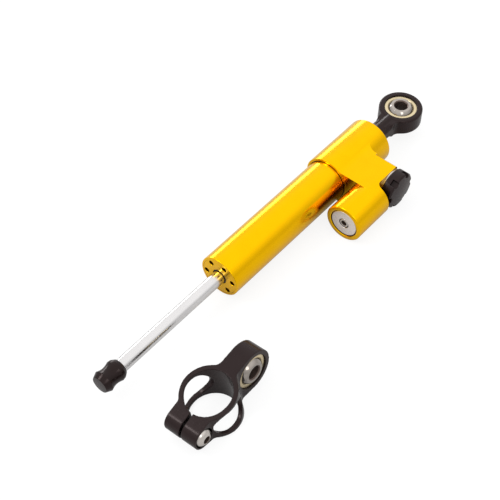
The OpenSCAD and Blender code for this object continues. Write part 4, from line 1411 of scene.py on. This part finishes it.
@dataclass
class Studio:
    """White table, soft lamps and the camera of the photograph."""

    layout: Layout
    pixels: float = 500.0
    focal_pixels: float = 1171.83
    aim_spot: Corner = (25.73, -0.53, 0.0)
    distance: float = 663.26
    elevation: float = 50.5
    turn: float = 50.61
    roll: float = 0.98
    sensor: float = 36.0
    nearest: float = 0.01
    farthest: float = 20.0
    table_size: float = 6.0
    table_gap: float = 0.02
    table_tone: float = 0.86
    white_share: float = 0.8
    white_level: float = 1.06
    mirror_share: float = 0.5
    mirror_level: float = 0.47
    room_level: float = 1.15
    room_rise: tuple[float, float] = (0.2, 0.7)
    room_tones: tuple[float, float] = (0.6, 1.0)

    def build(self) -> None:
        """Set up the view, the floor, the lamps and the world."""
        bpy.context.scene.view_settings.view_transform = "Standard"
        self._camera()
        self._floor()
        self._lamps()
        self._world()

    def _camera(self) -> None:
        """Place the camera where the photograph was taken from, aimed at the picture's middle."""
        a, e, ro = (math.radians(v) for v in (self.turn, self.elevation, self.roll))
        level = Vector((math.sin(a), math.cos(a), 0.0))
        side = Vector((math.cos(a), -math.sin(a), 0.0))
        ahead = math.cos(e) * level - math.sin(e) * Vector((0, 0, 1))
        above = math.sin(e) * level + math.cos(e) * Vector((0, 0, 1))
        right = math.cos(ro) * side + math.sin(ro) * above
        up = math.cos(ro) * above - math.sin(ro) * side
        spot = Vector(self.aim_spot) - ahead * self.distance
        axes = Matrix((right, up, -ahead)).transposed().to_4x4()
        data = bpy.data.cameras.new("view")
        data.sensor_width = self.sensor
        data.lens = self.sensor * self.focal_pixels / self.pixels
        data.clip_start, data.clip_end = self.nearest, self.farthest
        camera = bpy.data.objects.new("view", data)
        bpy.context.scene.collection.objects.link(camera)
        pose = self.layout.damper @ Matrix.Translation(spot) @ axes
        pose.translation *= MM
        camera.matrix_world = pose
        bpy.context.scene.camera = camera

    def _floor(self) -> None:
        """Lay a pale table under the part."""
        Bench.clear()
        bpy.ops.mesh.primitive_grid_add(x_subdivisions=8, y_subdivisions=8, size=self.table_size)
        floor = bpy.context.active_object
        floor.name = "table"
        Bench.place(floor, Matrix.Translation((0, 0, -(self.layout.head_r + self.table_gap) * MM)))
        material = bpy.data.materials.new("white_table")
        material.use_nodes = True
        nodes, links = material.node_tree.nodes, material.node_tree.links
        shader = nodes["Principled BSDF"]
        shader.inputs["Roughness"].default_value = 0.9
        shader.inputs["Specular IOR Level"].default_value = 0.0
        shader.inputs["Base Color"].default_value = (*[self.table_tone] * 3, 1.0)
        floor.data.materials.append(material)
        glow = nodes.new("ShaderNodeEmission")
        mix = nodes.new("ShaderNodeMixShader")
        links.new(shader.outputs["BSDF"], mix.inputs[1])
        links.new(glow.outputs["Emission"], mix.inputs[2])
        links.new(mix.outputs["Shader"], nodes["Material Output"].inputs["Surface"])
        rays = nodes.new("ShaderNodeLightPath")
        mirrored = nodes.new("ShaderNodeMath")
        mirrored.operation = "MULTIPLY"
        mirrored.inputs[1].default_value = self.mirror_share
        links.new(rays.outputs["Is Glossy Ray"], mirrored.inputs[0])
        share = nodes.new("ShaderNodeMath")
        share.operation = "MULTIPLY_ADD"
        share.inputs[1].default_value = self.white_share
        links.new(rays.outputs["Is Camera Ray"], share.inputs[0])
        links.new(mirrored.outputs[0], share.inputs[2])
        level = nodes.new("ShaderNodeMath")
        level.operation = "MULTIPLY_ADD"
        level.inputs[1].default_value = self.white_level - self.mirror_level
        level.inputs[2].default_value = self.mirror_level
        links.new(rays.outputs["Is Camera Ray"], level.inputs[0])
        links.new(level.outputs[0], glow.inputs["Strength"])
        links.new(share.outputs[0], mix.inputs["Fac"])

    def _lamps(self) -> None:
        """Hang the plain white soft boxes."""
        for box in SOFT_BOXES:
            data = bpy.data.lights.new(box.name, "AREA")
            data.shape = "RECTANGLE"
            data.size, data.size_y = box.width, box.height
            data.energy = math.pi * box.width * box.height * box.level
            lamp = bpy.data.objects.new(box.name, data)
            bpy.context.scene.collection.objects.link(lamp)
            lamp.location = box.spot
            lamp.rotation_mode = "QUATERNION"
            lamp.rotation_quaternion = Vector(box.spot).to_track_quat("Z", "Y")

    def _world(self) -> None:
        """Light the room evenly, and show it white behind the part."""
        world = bpy.data.worlds.new("studio")
        bpy.context.scene.world = world
        world.use_nodes = True
        nodes, links = world.node_tree.nodes, world.node_tree.links
        room = nodes["Background"]
        room.inputs["Strength"].default_value = self.room_level
        backdrop = nodes.new("ShaderNodeBackground")
        backdrop.inputs["Color"].default_value = (1.0, 1.0, 1.0, 1.0)
        place = nodes.new("ShaderNodeTexCoord")
        split = nodes.new("ShaderNodeSeparateXYZ")
        links.new(place.outputs["Generated"], split.inputs["Vector"])
        rise = nodes.new("ShaderNodeMapRange")
        rise.inputs["From Min"].default_value, rise.inputs["From Max"].default_value = self.room_rise
        rise.inputs["To Min"].default_value, rise.inputs["To Max"].default_value = self.room_tones
        links.new(split.outputs["Z"], rise.inputs["Value"])
        links.new(rise.outputs["Result"], room.inputs["Color"])
        rays = nodes.new("ShaderNodeLightPath")
        seen = nodes.new("ShaderNodeMath")
        seen.operation = "MAXIMUM"
        links.new(rays.outputs["Is Camera Ray"], seen.inputs[0])
        links.new(rays.outputs["Is Transmission Ray"], seen.inputs[1])
        mix = nodes.new("ShaderNodeMixShader")
        links.new(seen.outputs[0], mix.inputs["Fac"])
        links.new(room.outputs["Background"], mix.inputs[1])
        links.new(backdrop.outputs["Background"], mix.inputs[2])
        links.new(mix.outputs["Shader"], nodes["World Output"].inputs["Surface"])


def main() -> None:
    """Build every sub-assembly in order, then the studio."""
    logging.basicConfig(level=logging.INFO, format="%(name)s: %(message)s")
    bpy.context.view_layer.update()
    layout = Layout()
    shop = Paintshop()
    for assembly in (
        BarrelTube(layout),
        SlidingRod(layout),
        HeadBlock(layout),
        ReservoirPlug(layout),
        AdjusterKnob(layout),
        BallJoints(layout),
        RodEnd(layout),
        BarrelClamp(layout),
    ):
        assembly.build(shop)
    Studio(layout).build()


if __name__ == "__main__":
    main()
